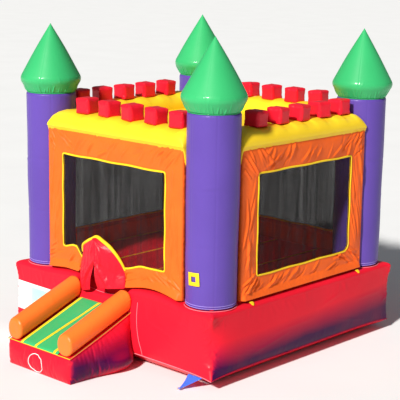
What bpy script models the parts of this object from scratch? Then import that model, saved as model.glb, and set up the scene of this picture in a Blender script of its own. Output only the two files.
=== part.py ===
"""Inflatable castle bounce house, modelled as its sewn chambers, panels and fittings.

Metres, +Z up. The origin is on the ground under the middle of the square base. The entrance
and its ramp face -Y. Every air chamber is a thin shell with the passages that feed it, and
pieces that touch keep a clearance of GAP.
"""

import math

import bmesh
import bpy
from mathutils import Matrix, Vector

# Driving dimensions, in metres.
GAP = 0.0003
CHAMBER_WALL = 0.014
SHEET = 0.015

COLUMN_OFFSET = 1.60
COLUMN_RADIUS = 0.35
COLUMN_TOP = 3.55
PASSAGE_RADIUS = 0.20

BASE_HALF = 1.98
BASE_TOP = 1.03
BASE_CORNER = 0.10

FLOOR_HALF = 1.85
FLOOR_ARM = 1.23
FLOOR_THICKNESS = 0.024

SPIRE_RADIUS = 0.42
SPIRE_TIP = 4.545

WALL_PLANE = 1.883
WALL_HALF = 1.325
WALL_WING = 0.24
WALL_TOP = 3.10

WINDOW_HALF = 1.03
WINDOW_BOTTOM = 1.39
WINDOW_TOP = 2.77
MESH_THICKNESS = 0.008

BEAM_CENTRE = 1.62
BEAM_TOP = 3.33
BEAM_BOTTOM = 2.82
BEAM_LAND = 0.12

BATTLEMENT_SIZE = 0.24
BATTLEMENT_HEIGHT = 0.215
BATTLEMENT_PITCH = 0.455
BATTLEMENT_SHIFT = 0.12
BATTLEMENTS_PER_SIDE = 5

ROOF_HALF = 1.352
ROOF_CORNER = 0.06
ROOF_HEIGHT = 3.10

DOOR_CENTRE = -0.14
DOOR_HALF = 0.44
DOOR_SPRING = 1.38
DOOR_RISE = 0.31
HOOD_RADIUS = 0.02
HOOD_PLANE = 1.906
FLAP_THICKNESS = 0.010
FLAP_BOTTOM = 1.062
FLAP_SLIT = 0.010

RAMP_HALF = 0.64
RAMP_FRONT = 3.094
RAMP_BACK = BASE_HALF + 0.0015
RAMP_FRONT_TOP = 0.355
RAMP_BACK_TOP = 0.768
RAMP_BED_HALF = 0.36
BOLSTER_RADIUS = 0.14
BOLSTER_OFFSET = 0.51

TAB_OFFSET = 1.62
TAB_LENGTH = 0.20
TAB_WIDTH = 0.25
TAB_THICKNESS = 0.006
TAB_ROOT_HEIGHT = 0.10
RING_HEIGHT = 0.026
RING_WIRE = 0.005
RING_HALF = 0.027
RING_SLEEVE = 0.011

SLEEVE_RADIUS = 0.14
SLEEVE_LENGTH = 0.35
SLEEVE_OFFSET = 0.90
SLEEVE_HEIGHT = 0.40

ROUND_STEPS = 28
BOLSTER_STEPS = 20
SIDES = {"front": 0, "right": 90, "rear": 180, "left": 270}


def clear_scene():
    """Remove whatever the open file holds."""
    for old in list(bpy.data.objects):
        bpy.data.objects.remove(old, do_unlink=True)


def make_material(name, colour, roughness, metallic=0.0):
    """One plain Principled material."""
    material = bpy.data.materials.new(name)
    material.use_nodes = True
    shader = material.node_tree.nodes["Principled BSDF"]
    shader.inputs["Base Color"].default_value = (*colour, 1.0)
    shader.inputs["Roughness"].default_value = roughness
    shader.inputs["Metallic"].default_value = metallic
    return material


def add_object(name, bm, material, matrix=None):
    """Turn a bmesh into a named object with smooth rounds and sharp edges."""
    bmesh.ops.recalc_face_normals(bm, faces=bm.faces)
    mesh = bpy.data.meshes.new(name)
    bm.to_mesh(mesh)
    bm.free()
    mesh.shade_smooth()
    mesh.set_sharp_from_angle(angle=math.radians(35))
    if material:
        mesh.materials.append(material)
    obj = bpy.data.objects.new(name, mesh)
    bpy.context.scene.collection.objects.link(obj)
    if matrix:
        obj.matrix_world = matrix
    return obj


def side_matrix(side):
    """The turn that carries a piece built on the front to another side."""
    return Matrix.Rotation(math.radians(SIDES[side]), 4, "Z")


def corner_positions():
    """Each corner's name and its column's centre."""
    return {
        "front_left": (-COLUMN_OFFSET, -COLUMN_OFFSET),
        "front_right": (COLUMN_OFFSET, -COLUMN_OFFSET),
        "rear_right": (COLUMN_OFFSET, COLUMN_OFFSET),
        "rear_left": (-COLUMN_OFFSET, COLUMN_OFFSET),
    }


def loft(rings, closed=False):
    """A solid through rings of equal length. Open lofts get an end face at both ends."""
    bm = bmesh.new()
    loops = [[bm.verts.new(point) for point in ring] for ring in rings]
    pairs = list(zip(loops, loops[1:]))
    if closed:
        pairs.append((loops[-1], loops[0]))
    for low, high in pairs:
        for i in range(len(low)):
            j = (i + 1) % len(low)
            bm.faces.new((low[i], low[j], high[j], high[i]))
    if not closed:
        bm.faces.new(loops[0][::-1])
        bm.faces.new(loops[-1])
    return bm


def prism_x(outline, half):
    """An outline of (y, z) points drawn out along X."""
    return loft([[(x, y, z) for y, z in outline] for x in (-half, half)])


def prism_y(outline, low, high):
    """An outline of (x, z) points drawn out along Y."""
    return loft([[(x, y, z) for x, z in outline] for y in (low, high)])


def prism_z(outline, low, high):
    """An outline of (x, y) points drawn out along Z."""
    return loft([[(x, y, z) for x, y in outline] for z in (low, high)])


def box(low, high):
    """A plain box between two corners."""
    outline = [(low[0], low[1]), (high[0], low[1]), (high[0], high[1]), (low[0], high[1])]
    return prism_z(outline, low[2], high[2])


def turned(profile, steps=ROUND_STEPS):
    """A (radius, height) profile, closed on itself, turned about Z."""
    rings = []
    for i in range(steps):
        angle = 2 * math.pi * i / steps
        rings.append([(r * math.cos(angle), r * math.sin(angle), z) for r, z in profile])
    bm = loft(rings, closed=True)
    bmesh.ops.remove_doubles(bm, verts=bm.verts, dist=1e-6)
    return bm


def bevel_edges(bm, width, segments=1):
    """Round every sharp edge of a bmesh."""
    sharp = [edge for edge in bm.edges if edge.calc_face_angle(0) > math.radians(30)]
    bmesh.ops.bevel(
        bm, geom=sharp, offset=width, segments=segments, profile=0.5, affect="EDGES",
        clamp_overlap=True,
    )


def make_cutter(name, bm):
    """A hidden object that Booleans use."""
    cutter = add_object(name, bm, None)
    cutter.hide_render = True
    cutter.display_type = "WIRE"
    return cutter


def apply_boolean(obj, cutter, operation="DIFFERENCE"):
    """Cut an object with another, or join it to another."""
    modifier = obj.modifiers.new(cutter.name, "BOOLEAN")
    modifier.operation = operation
    modifier.solver = "EXACT"
    modifier.object = cutter


def rounded_square(half, corner, height, steps=4):
    """The corner arcs of a square with round corners, at one height."""
    points = []
    for quarter in range(4):
        start = quarter * math.pi / 2
        centre = Vector((half - corner, half - corner, 0))
        centre.rotate(Matrix.Rotation(start, 3, "Z"))
        for i in range(steps + 1):
            angle = start + i * math.pi / 2 / steps
            x = centre.x + corner * math.cos(angle)
            y = centre.y + corner * math.sin(angle)
            points.append((x, y, height))
    return points


def hole_cutter(name, radius, centre, direction, length, steps=20):
    """A round cutter centred on a point."""
    half = length / 2
    bm = turned([(0, -half), (radius, -half), (radius, half), (0, half)], steps)
    turn = Vector((0, 0, 1)).rotation_difference(Vector(direction)).to_matrix().to_4x4()
    bmesh.ops.transform(bm, matrix=Matrix.Translation(centre) @ turn, verts=bm.verts)
    return make_cutter(name, bm)


def make_base(material):
    """The mattress: a square pillow with an inset flat underside and round air passages."""
    section = [
        (0.0, 0.18), (0.05, 0.07), (0.13, 0.012), (0.26, 0.0),
        (0.86, 0.0), (0.98, 0.012), (BASE_TOP, 0.05),
    ]
    outer = [rounded_square(BASE_HALF - inset, BASE_CORNER, z) for z, inset in section]
    base = add_object("base_mattress", loft(outer), material)
    wall = CHAMBER_WALL
    inner = []
    for z, inset in section:
        height = min(max(z, wall), BASE_TOP - wall)
        inner.append(rounded_square(BASE_HALF - inset - wall, BASE_CORNER - wall, height))
    apply_boolean(base, make_cutter("base_chamber", loft(inner)))
    for corner, (x, y) in corner_positions().items():
        apply_boolean(base, hole_cutter(
            "base_passage_" + corner, PASSAGE_RADIUS, (x, y, BASE_TOP), (0, 0, 1), 0.2))
    apply_boolean(base, hole_cutter(
        "ramp_passage_in_base", PASSAGE_RADIUS, (DOOR_CENTRE, -BASE_HALF, 0.36), (0, 1, 0), 0.2))
    for name, x in (("inflation", SLEEVE_OFFSET), ("deflation", -SLEEVE_OFFSET)):
        apply_boolean(base, hole_cutter(
            name + "_passage", SLEEVE_RADIUS - CHAMBER_WALL,
            (x, BASE_HALF, SLEEVE_HEIGHT), (0, 1, 0), 0.2))


def make_floor(material):
    """The bounce floor sheet, a cross that passes between the four columns."""
    a = FLOOR_ARM
    b = FLOOR_HALF
    outline = [(-a, -b), (a, -b), (a, -a), (b, -a), (b, a), (a, a),
               (a, b), (-a, b), (-a, a), (-b, a), (-b, -a), (-a, -a)]
    low = BASE_TOP + GAP
    add_object("bounce_floor", prism_z(outline, low, low + FLOOR_THICKNESS), material)


def make_columns(material):
    """Four corner columns, open through a passage at the foot and at the top."""
    r = COLUMN_RADIUS
    hole = PASSAGE_RADIUS
    wall = CHAMBER_WALL
    low = BASE_TOP + GAP
    high = COLUMN_TOP - GAP
    profile = [
        (hole, low), (r - 0.05, low), (r - 0.012, low + 0.03), (r, low + 0.09),
        (r, high - 0.06), (r - 0.015, high), (hole, high), (hole, high - wall),
        (r - 0.015 - wall, high - wall), (r - wall, high - 0.07),
        (r - wall, low + 0.09), (r - 0.05 - wall, low + wall), (hole, low + wall),
    ]
    for corner, (x, y) in corner_positions().items():
        name = "column_" + corner
        add_object(name, turned(profile), material, Matrix.Translation((x, y, 0)))


def spire_outline(wall, steps=7):
    """Half the onion outline of a spire from its seam to its tip, set in by a wall."""
    seam = COLUMN_TOP + GAP + wall
    belly = COLUMN_TOP + 0.19
    rim = [(COLUMN_RADIUS - 0.02 - wall, seam), (SPIRE_RADIUS - 0.025 - wall, COLUMN_TOP + 0.09)]
    cone = []
    for i in range(steps + 1):
        t = i / steps
        swell = 0.025 * math.sin(math.pi * t)
        radius = (SPIRE_RADIUS - wall) * (1 - t) + swell
        cone.append((radius, belly + (SPIRE_TIP - 2.2 * wall - belly) * t))
    return rim + cone


def make_spires(material):
    """Four onion spires, each open to the column below it."""
    outer = spire_outline(0.0)
    inner = spire_outline(CHAMBER_WALL)
    low = COLUMN_TOP + GAP
    hole = PASSAGE_RADIUS
    profile = [(hole, low)] + outer + inner[::-1] + [(hole, low + CHAMBER_WALL)]
    for corner, (x, y) in corner_positions().items():
        name = "spire_" + corner
        add_object(name, turned(profile), material, Matrix.Translation((x, y, 0)))


def beam_outline(wall):
    """The D of a top beam as (y, z) points, set in by a wall."""
    front = -WALL_PLANE + wall
    behind_sheet = -WALL_PLANE + SHEET + 0.002 + wall
    back = -BEAM_CENTRE * 2 + WALL_PLANE - wall
    top = BEAM_TOP - wall
    bottom = BEAM_BOTTOM + wall
    ledge = WALL_TOP + wall
    shoulder = ledge + 0.04
    reach = WALL_PLANE - BEAM_CENTRE - BEAM_LAND - wall
    outline = [(front, ledge), (front, shoulder)]
    for i in range(1, 5):
        angle = i * math.pi / 8
        y = front + reach * (1 - math.cos(angle))
        outline.append((y, shoulder + (top - shoulder) * math.sin(angle)))
    for i in range(4, 0, -1):
        angle = i * math.pi / 8
        y = back - reach * (1 - math.cos(angle))
        outline.append((y, shoulder + (top - shoulder) * math.sin(angle)))
    outline += [(back, shoulder), (back, bottom + 0.12), (back - 0.12, bottom)]
    outline += [(behind_sheet + 0.12, bottom), (behind_sheet, bottom + 0.12), (behind_sheet, ledge)]
    return outline


def make_beams(material, column_cutters):
    """Four D-section top beams whose open ends fit the round columns."""
    reach = COLUMN_OFFSET - 0.15
    outer = beam_outline(0.0)
    inner = beam_outline(CHAMBER_WALL)
    rings = [
        [(-reach, y, z) for y, z in outer],
        [(reach, y, z) for y, z in outer],
        [(reach, y, z) for y, z in inner],
        [(-reach, y, z) for y, z in inner],
    ]
    for side in SIDES:
        beam = add_object("beam_" + side, loft(rings, closed=True), material, side_matrix(side))
        for cutter in column_cutters.values():
            apply_boolean(beam, cutter)


def make_battlements(material):
    """Five puffed cubes on each beam."""
    half = BATTLEMENT_SIZE / 2
    low = BEAM_TOP + GAP
    for side in SIDES:
        for number in range(1, BATTLEMENTS_PER_SIDE + 1):
            x = (number - (BATTLEMENTS_PER_SIDE + 1) / 2) * BATTLEMENT_PITCH + BATTLEMENT_SHIFT
            high = low + BATTLEMENT_HEIGHT
            bm = box((x - half, -BEAM_CENTRE - half, low), (x + half, -BEAM_CENTRE + half, high))
            bevel_edges(bm, 0.025)
            add_object(f"battlement_{side}_{number}", bm, material, side_matrix(side))


def wall_plan():
    """A wall sheet seen from above: the panel and its two returns to the columns."""
    back = -WALL_PLANE + WALL_WING
    sheet = -WALL_PLANE + SHEET
    lean = 0.025
    half = WALL_HALF
    inner = WALL_HALF - SHEET
    outside = [(-half, -WALL_PLANE), (half, -WALL_PLANE), (half - lean, back)]
    inside = [(inner - lean, back), (inner, sheet), (-inner, sheet), (-inner + lean, back)]
    return outside + inside + [(-half + lean, back)]


def make_walls(material, column_cutters):
    """Four fabric walls with a window each, and the doorway in the front one."""
    half = WINDOW_HALF
    window = make_cutter(
        "window_cutter", box((-half, -2.1, WINDOW_BOTTOM), (half, 2.1, WINDOW_TOP)))
    window_across = make_cutter(
        "window_cutter_across", box((-2.1, -half, WINDOW_BOTTOM), (2.1, half, WINDOW_TOP)))
    door_low = (DOOR_CENTRE - DOOR_HALF, -2.1, BASE_TOP - 0.1)
    door_high = (DOOR_CENTRE + DOOR_HALF, -1.5, WINDOW_BOTTOM + 0.1)
    door = make_cutter("door_cutter", box(door_low, door_high))
    reach = WALL_PLANE - SHEET - 0.0015
    room_for_beams = make_cutter(
        "beam_room", box((-reach, -reach, BEAM_BOTTOM - 0.02), (reach, reach, 3.4)))
    for side in SIDES:
        sheet = prism_z(wall_plan(), BASE_TOP + 0.003, WALL_TOP - 0.003)
        wall = add_object("wall_" + side, sheet, material, side_matrix(side))
        apply_boolean(wall, window if side in ("front", "rear") else window_across)
        apply_boolean(wall, room_for_beams)
        if side == "front":
            apply_boolean(wall, door)
        for cutter in column_cutters.values():
            apply_boolean(wall, cutter)


def arch_height(u, rise):
    """How far the pointed door arch stands above its spring line, u from 0 at the middle to 1."""
    return rise * (1 - abs(u) ** 1.3) ** 0.7


def arch_points(inset, steps=8):
    """The door arch from its left foot to its right foot as (x, z) points."""
    half = DOOR_HALF - inset
    points = []
    for i in range(-steps, steps + 1):
        u = math.sin(math.pi / 2 * i / steps)
        z = DOOR_SPRING + arch_height(u, DOOR_RISE - inset)
        points.append((DOOR_CENTRE + half * u, z))
    return points


def make_windows(material):
    """Four mesh panels in the wall openings, the front one cut round the door arch."""
    half = WINDOW_HALF - GAP
    low = WINDOW_BOTTOM + GAP
    high = WINDOW_TOP - GAP
    y_low = -WALL_PLANE + (SHEET - MESH_THICKNESS) / 2
    for side in SIDES:
        outline = [(half, low), (half, high), (-half, high), (-half, low)]
        if side == "front":
            arch = [(x, z) for x, z in arch_points(0.0) if z > low + 0.01]
            foot_left = (arch[0][0] - 0.004, low)
            foot_right = (arch[-1][0] + 0.004, low)
            outline += [foot_left] + arch + [foot_right]
        bm = prism_y(outline, y_low, y_low + MESH_THICKNESS)
        add_object("window_mesh_" + side, bm, material, side_matrix(side))


def make_roof(material):
    """The sheet stretched between the beams."""
    a = ROOF_HALF
    b = ROOF_HALF - ROOF_CORNER
    outline = [(-b, -a), (b, -a), (a, -b), (a, b), (b, a), (-b, a), (-a, b), (-a, -b)]
    add_object("roof_sheet", prism_z(outline, ROOF_HEIGHT, ROOF_HEIGHT + SHEET), material)


def make_hood(material):
    """The piped arch over the doorway."""
    curve = bpy.data.curves.new("door_hood", "CURVE")
    curve.dimensions = "3D"
    curve.bevel_depth = HOOD_RADIUS
    curve.bevel_resolution = 2
    curve.use_fill_caps = True
    points = arch_points(0.0)
    points = [(points[0][0], DOOR_SPRING - 0.03)] + points + [(points[-1][0], DOOR_SPRING - 0.03)]
    spline = curve.splines.new("POLY")
    spline.points.add(len(points) - 1)
    for point, (x, z) in zip(spline.points, points):
        point.co = (x, -HOOD_PLANE, z, 1.0)
    curve.materials.append(material)
    hood = bpy.data.objects.new("door_hood", curve)
    bpy.context.scene.collection.objects.link(hood)


def make_flap(name, side, material):
    """One door curtain, with its origin on the seam that it hangs and swings from."""
    inset = HOOD_RADIUS + 0.010
    hinge = DOOR_CENTRE + side * (DOOR_HALF - inset)
    arch = [(x, z) for x, z in arch_points(inset) if side * (x - DOOR_CENTRE) > FLAP_SLIT]
    slit_top = DOOR_SPRING + arch_height(FLAP_SLIT / DOOR_HALF, DOOR_RISE - inset)
    slit = DOOR_CENTRE + side * FLAP_SLIT
    if side < 0:
        arch = arch[::-1]
    slit_edge = [(slit, FLAP_BOTTOM), (slit, slit_top)]
    outline = slit_edge + arch[:-1] + [(hinge, DOOR_SPRING - 0.01), (hinge, FLAP_BOTTOM)]
    outline = [(x - hinge, z) for x, z in outline]
    bm = prism_y(outline, -FLAP_THICKNESS / 2, FLAP_THICKNESS / 2)
    add_object(name, bm, material, Matrix.Translation((hinge, -HOOD_PLANE, 0)))


def ramp_slope():
    """The bed's angle above the ground."""
    return math.atan2(RAMP_BACK_TOP - RAMP_FRONT_TOP, RAMP_FRONT - RAMP_BACK)


def make_ramp(material):
    """The wedge-shaped ramp chamber against the base."""
    back = -RAMP_BACK
    outline = [
        (-RAMP_FRONT + 0.05, 0.0), (-RAMP_FRONT, 0.06), (-RAMP_FRONT, RAMP_FRONT_TOP),
        (back, RAMP_BACK_TOP), (back, 0.12), (back - 0.09, 0.0),
    ]
    bm = prism_x(outline, RAMP_HALF)
    bevel_edges(bm, 0.012)
    ramp = add_object("ramp_body", bm, material, Matrix.Translation((DOOR_CENTRE, 0, 0)))
    wall = CHAMBER_WALL
    chamber = [
        (-RAMP_FRONT + 0.055, wall), (-RAMP_FRONT + wall, 0.065),
        (-RAMP_FRONT + wall, RAMP_FRONT_TOP - wall), (back - wall, RAMP_BACK_TOP - wall * 1.6),
        (back - wall, 0.125), (back - 0.095, wall),
    ]
    cavity = prism_x(chamber, RAMP_HALF - wall)
    bmesh.ops.translate(cavity, vec=(DOOR_CENTRE, 0, 0), verts=cavity.verts)
    apply_boolean(ramp, make_cutter("ramp_chamber", cavity))
    apply_boolean(ramp, hole_cutter(
        "ramp_passage", PASSAGE_RADIUS, (DOOR_CENTRE, -BASE_HALF, 0.36), (0, 1, 0), 0.1))


def make_ramp_bed(material):
    """The climbing bed laid on the ramp between the bolsters."""
    slope = ramp_slope()
    length = (RAMP_FRONT - RAMP_BACK) / math.cos(slope) - 0.03
    bm = box((-RAMP_BED_HALF, 0, 0), (RAMP_BED_HALF, length, SHEET))
    front = Vector((DOOR_CENTRE, -RAMP_FRONT, RAMP_FRONT_TOP))
    tilt = Matrix.Rotation(slope, 4, "X")
    lift = Matrix.Translation((0, 0.012, GAP))
    add_object("ramp_bed", bm, material, Matrix.Translation(front) @ tilt @ lift)


def make_bolsters(material):
    """The two round side bolsters of the ramp, cut upright at both ends."""
    slope = ramp_slope()
    length = (RAMP_FRONT - RAMP_BACK) / math.cos(slope) - 0.01
    r = BOLSTER_RADIUS
    profile = [
        (0, 0), (r * 0.72, 0), (r * 0.93, 0.02), (r, 0.06),
        (r, length - 0.06), (r * 0.93, length - 0.02), (r * 0.72, length), (0, length),
    ]
    front = Matrix.Translation((DOOR_CENTRE, -RAMP_FRONT, RAMP_FRONT_TOP))
    tilt = Matrix.Rotation(slope, 4, "X")
    lay = Matrix.Rotation(-math.pi / 2, 4, "X")
    upright_ends = Matrix.Identity(4)
    upright_ends[1][2] = math.tan(slope)
    for name, side in (("ramp_bolster_left", -1), ("ramp_bolster_right", 1)):
        bm = turned(profile, BOLSTER_STEPS)
        rise = Matrix.Translation((side * BOLSTER_OFFSET, 0.005, r + 2 * GAP))
        bmesh.ops.transform(bm, matrix=upright_ends @ rise @ lay, verts=bm.verts)
        add_object(name, bm, material, front @ tilt)


def tab_places():
    """Where each anchor tab leaves the base seam, and the side that it faces."""
    return {
        "front_right": ("front", TAB_OFFSET),
        "front_left": ("front", -TAB_OFFSET),
        "rear_right": ("rear", -TAB_OFFSET),
        "rear_left": ("rear", TAB_OFFSET),
    }


def make_anchor_tabs(material):
    """Four webbing tabs at the ground seam, each ending in a sleeve for its ring."""
    root = -BASE_HALF + 0.006
    tip = -BASE_HALF - TAB_LENGTH
    for corner, (side, x) in tab_places().items():
        bm = bmesh.new()
        corners = []
        for y, z, half in ((root, TAB_ROOT_HEIGHT, TAB_WIDTH / 2), (tip, RING_HEIGHT, 0.018)):
            for dx, dz in ((-half, -0.5), (half, -0.5), (half, 0.5), (-half, 0.5)):
                corners.append(bm.verts.new((x + dx, y, z + dz * TAB_THICKNESS)))
        low, high = corners[:4], corners[4:]
        bm.faces.new(low)
        bm.faces.new(high[::-1])
        for i in range(4):
            j = (i + 1) % 4
            bm.faces.new((low[i], high[i], high[j], low[j]))
        tab = add_object("anchor_tab_" + corner, bm, material, side_matrix(side))
        turn = side_matrix(side)
        centre = turn @ Vector((x, tip, RING_HEIGHT))
        along = turn.to_3x3() @ Vector((1, 0, 0))
        sleeve = hole_cutter("tab_sleeve_" + corner, RING_SLEEVE, centre, along, 0.037)
        bore = hole_cutter("tab_bore_" + corner, RING_WIRE + 0.0015, centre, along, 0.08)
        apply_boolean(tab, sleeve, "UNION")
        apply_boolean(tab, bore)


def make_anchor_rings(material):
    """Four D-rings, each with its origin on the bar that turns in its tab."""
    path = [(-RING_HALF, 0.0), (RING_HALF, 0.0)]
    for i in range(9):
        angle = math.pi * i / 8
        path.append((RING_HALF * math.cos(angle), -0.016 - RING_HALF * math.sin(angle)))
    for corner, (side, x) in tab_places().items():
        curve = bpy.data.curves.new("anchor_ring_" + corner, "CURVE")
        curve.dimensions = "3D"
        curve.bevel_depth = RING_WIRE
        curve.bevel_resolution = 2
        spline = curve.splines.new("POLY")
        spline.points.add(len(path) - 1)
        spline.use_cyclic_u = True
        for point, (px, py) in zip(spline.points, path):
            point.co = (px, py, 0.0, 1.0)
        curve.materials.append(material)
        ring = bpy.data.objects.new("anchor_ring_" + corner, curve)
        bpy.context.scene.collection.objects.link(ring)
        bar = Matrix.Translation((x, -BASE_HALF - TAB_LENGTH, RING_HEIGHT))
        ring.matrix_world = side_matrix(side) @ bar


def make_air_sleeves(material):
    """The open sleeve for the blower and the tied-off sleeve that lets the air out."""
    r = SLEEVE_RADIUS
    lay = Matrix.Rotation(-math.pi / 2, 4, "X")
    inner = r - CHAMBER_WALL
    tube = [(inner, 0), (r, 0), (r, SLEEVE_LENGTH), (inner, SLEEVE_LENGTH)]
    root = BASE_HALF + GAP
    open_place = Matrix.Translation((SLEEVE_OFFSET, root, SLEEVE_HEIGHT))
    tied_place = Matrix.Translation((-SLEEVE_OFFSET, root, SLEEVE_HEIGHT))
    add_object("inflation_sleeve", turned(tube, 24), material, open_place @ lay)
    tied = [
        (0, 0), (r, 0), (r, 0.10), (r * 0.8, 0.17), (r * 0.3, 0.22),
        (r * 0.3, 0.235), (r * 0.6, 0.29), (r * 0.7, 0.33), (0, 0.33),
    ]
    add_object("deflation_sleeve", turned(tied, 24), material, tied_place @ lay)


def main():
    """Build every piece."""
    clear_scene()
    red = make_material("red_vinyl", (0.85, 0.04, 0.07), 0.38)
    purple = make_material("purple_vinyl", (0.22, 0.12, 0.62), 0.36)
    green = make_material("green_vinyl", (0.07, 0.68, 0.18), 0.34)
    yellow = make_material("yellow_vinyl", (1.0, 0.80, 0.04), 0.40)
    orange = make_material("orange_vinyl", (1.0, 0.23, 0.03), 0.45)
    netting = make_material("black_netting", (0.02, 0.02, 0.03), 0.80)
    webbing = make_material("blue_webbing", (0.06, 0.14, 0.75), 0.70)
    steel = make_material("ring_steel", (0.55, 0.56, 0.58), 0.35, 1.0)

    column_cutters = {
        corner: hole_cutter(
            "column_room_" + corner, COLUMN_RADIUS + 0.002, (x, y, 2.4), (0, 0, 1), 4.0, ROUND_STEPS)
        for corner, (x, y) in corner_positions().items()
    }
    make_base(red)
    make_floor(red)
    make_columns(purple)
    make_spires(green)
    make_beams(yellow, column_cutters)
    make_battlements(red)
    make_walls(orange, column_cutters)
    make_windows(netting)
    make_roof(yellow)
    make_hood(yellow)
    make_flap("door_flap_left", -1, red)
    make_flap("door_flap_right", 1, red)
    make_ramp(red)
    make_ramp_bed(green)
    make_bolsters(orange)
    make_anchor_tabs(webbing)
    make_anchor_rings(steel)
    make_air_sleeves(red)


main()
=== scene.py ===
"""The looks of an inflatable castle bounce house: taut vinyl chambers, creased fabric walls,
netting, webbing and stitching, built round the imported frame.

Metres, +Z up, in the frame's own coordinates. The entrance and its ramp face -Y. Every soft
piece replaces the plain solid that holds its place.
"""

import math

import bmesh
import bpy
import numpy as np
from mathutils import Matrix, Vector, noise
from mathutils.bvhtree import BVHTree


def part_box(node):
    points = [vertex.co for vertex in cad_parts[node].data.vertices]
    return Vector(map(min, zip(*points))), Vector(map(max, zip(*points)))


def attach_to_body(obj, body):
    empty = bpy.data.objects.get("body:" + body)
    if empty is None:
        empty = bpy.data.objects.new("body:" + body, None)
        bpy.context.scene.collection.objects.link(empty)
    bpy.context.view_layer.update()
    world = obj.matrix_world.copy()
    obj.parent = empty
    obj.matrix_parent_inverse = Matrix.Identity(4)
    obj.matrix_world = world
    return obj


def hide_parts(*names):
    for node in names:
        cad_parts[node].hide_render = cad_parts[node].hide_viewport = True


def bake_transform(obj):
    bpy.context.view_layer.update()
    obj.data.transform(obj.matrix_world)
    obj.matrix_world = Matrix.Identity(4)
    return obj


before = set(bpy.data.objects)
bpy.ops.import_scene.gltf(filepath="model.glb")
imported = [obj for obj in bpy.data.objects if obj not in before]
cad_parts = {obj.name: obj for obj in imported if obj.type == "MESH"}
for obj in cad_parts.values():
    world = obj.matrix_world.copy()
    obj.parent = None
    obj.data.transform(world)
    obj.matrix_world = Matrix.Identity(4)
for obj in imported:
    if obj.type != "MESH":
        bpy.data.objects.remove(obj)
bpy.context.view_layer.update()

SIDES = {"front": 0, "right": 90, "rear": 180, "left": 270}
CORNERS = ("front_left", "front_right", "rear_right", "rear_left")
BODY = "inflatable"
TURN = 2 * math.pi

# Places that several pieces share, read from the frame.
base_low, base_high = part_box("base_mattress")
column_low, column_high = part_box("column_front_right")
spire_low, spire_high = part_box("spire_front_right")
wall_low, wall_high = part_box("wall_front")
mesh_low, mesh_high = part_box("window_mesh_front")
beam_low, beam_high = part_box("beam_front")
ramp_low, ramp_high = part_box("ramp_body")

BASE_HALF = base_high.x
BASE_TOP = base_high.z
COLUMN_RADIUS = (column_high.x - column_low.x) / 2
COLUMN_TOP = column_high.z
SPIRE_RADIUS = (spire_high.x - spire_low.x) / 2
SPIRE_TIP = spire_high.z
WALL_PLANE = -wall_low.y
WALL_HALF = wall_high.x
WALL_BOTTOM = 1.078
WALL_TOP = wall_high.z
WINDOW_HALF = mesh_high.x
WINDOW_BOTTOM = mesh_low.z + 0.02
WINDOW_TOP = mesh_high.z
BEAM_TOP = beam_high.z
BEAM_LOW = beam_low.z
RAMP_CENTRE = (ramp_low.x + ramp_high.x) / 2
RAMP_HALF = (ramp_high.x - ramp_low.x) / 2
RAMP_FRONT = -ramp_low.y
RAMP_BACK = -ramp_high.y
RAMP_FRONT_TOP = 0.355
RAMP_BACK_TOP = ramp_high.z
RAMP_SLOPE = math.atan2(RAMP_BACK_TOP - RAMP_FRONT_TOP, RAMP_FRONT - RAMP_BACK)
SLOPE_LENGTH = (RAMP_FRONT - RAMP_BACK) / math.cos(RAMP_SLOPE)


# ---------------------------------------------------------------- materials

def feed(tree, made, inputs):
    """Give a node's sockets their values or links."""
    for name, value in inputs.items():
        if isinstance(value, bpy.types.NodeSocket):
            tree.links.new(value, made.inputs[name])
        else:
            made.inputs[name].default_value = value
    return made


def node(tree, kind, inputs=None, **settings):
    """A shader node with its settings and its sockets' values or links."""
    made = tree.nodes.new("ShaderNode" + kind)
    for name, value in settings.items():
        setattr(made, name, value)
    return feed(tree, made, inputs or {})


def calculated(tree, operation, *values, **settings):
    """The value of a math node."""
    made = node(tree, "Math", dict(enumerate(values)), operation=operation, **settings)
    return made.outputs["Value"]


def cloud(tree, place, scale, detail, distortion=0.0):
    """Smooth noise over a place."""
    return node(tree, "TexNoise", {
        "Vector": place, "Scale": scale, "Detail": detail, "Distortion": distortion}).outputs["Fac"]


def relief(tree, height, strength, distance, below=None):
    """A normal that carries a height, over another normal if there is one."""
    inputs = {"Height": height, "Strength": strength, "Distance": distance}
    if below is not None:
        inputs["Normal"] = below
    return node(tree, "Bump", inputs).outputs["Normal"]


def blended(tree, share, first, second):
    """A colour between two others."""
    return node(tree, "Mix", {0: share, 6: first, 7: second}, data_type="RGBA").outputs[2]


def scaled(colour, factor):
    """A colour made darker or lighter, with its alpha."""
    return tuple(min(1.0, c * factor) for c in colour) + (1.0,)


def start_material(name):
    """A material with its tree, shader and object coordinates."""
    material = bpy.data.materials.new(name)
    material.use_nodes = True
    tree = material.node_tree
    place = node(tree, "TexCoord").outputs["Object"]
    return material, tree, tree.nodes["Principled BSDF"], place


def mottled(tree, place, colour, dark, light, scale):
    """A colour that drifts between two shades of itself."""
    ramp = node(tree, "ValToRGB", {"Fac": cloud(tree, place, scale, 4.0)})
    for element, position, factor in zip(ramp.color_ramp.elements, (0.3, 0.7), (dark, light)):
        element.position = position
        element.color = scaled(colour, factor)
    return ramp.outputs["Color"]


def spread(tree, value, low, high):
    """A 0 to 1 value carried to another range."""
    return node(tree, "MapRange", {"Value": value, "To Min": low, "To Max": high},
                clamp=False).outputs["Result"]


def faded(tree, value, start, end, low, high):
    """A value carried from start..end to low..high, and held at the ends."""
    return node(tree, "MapRange", {
        "Value": value, "From Min": start, "From Max": end, "To Min": low,
        "To Max": high}).outputs["Result"]


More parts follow.
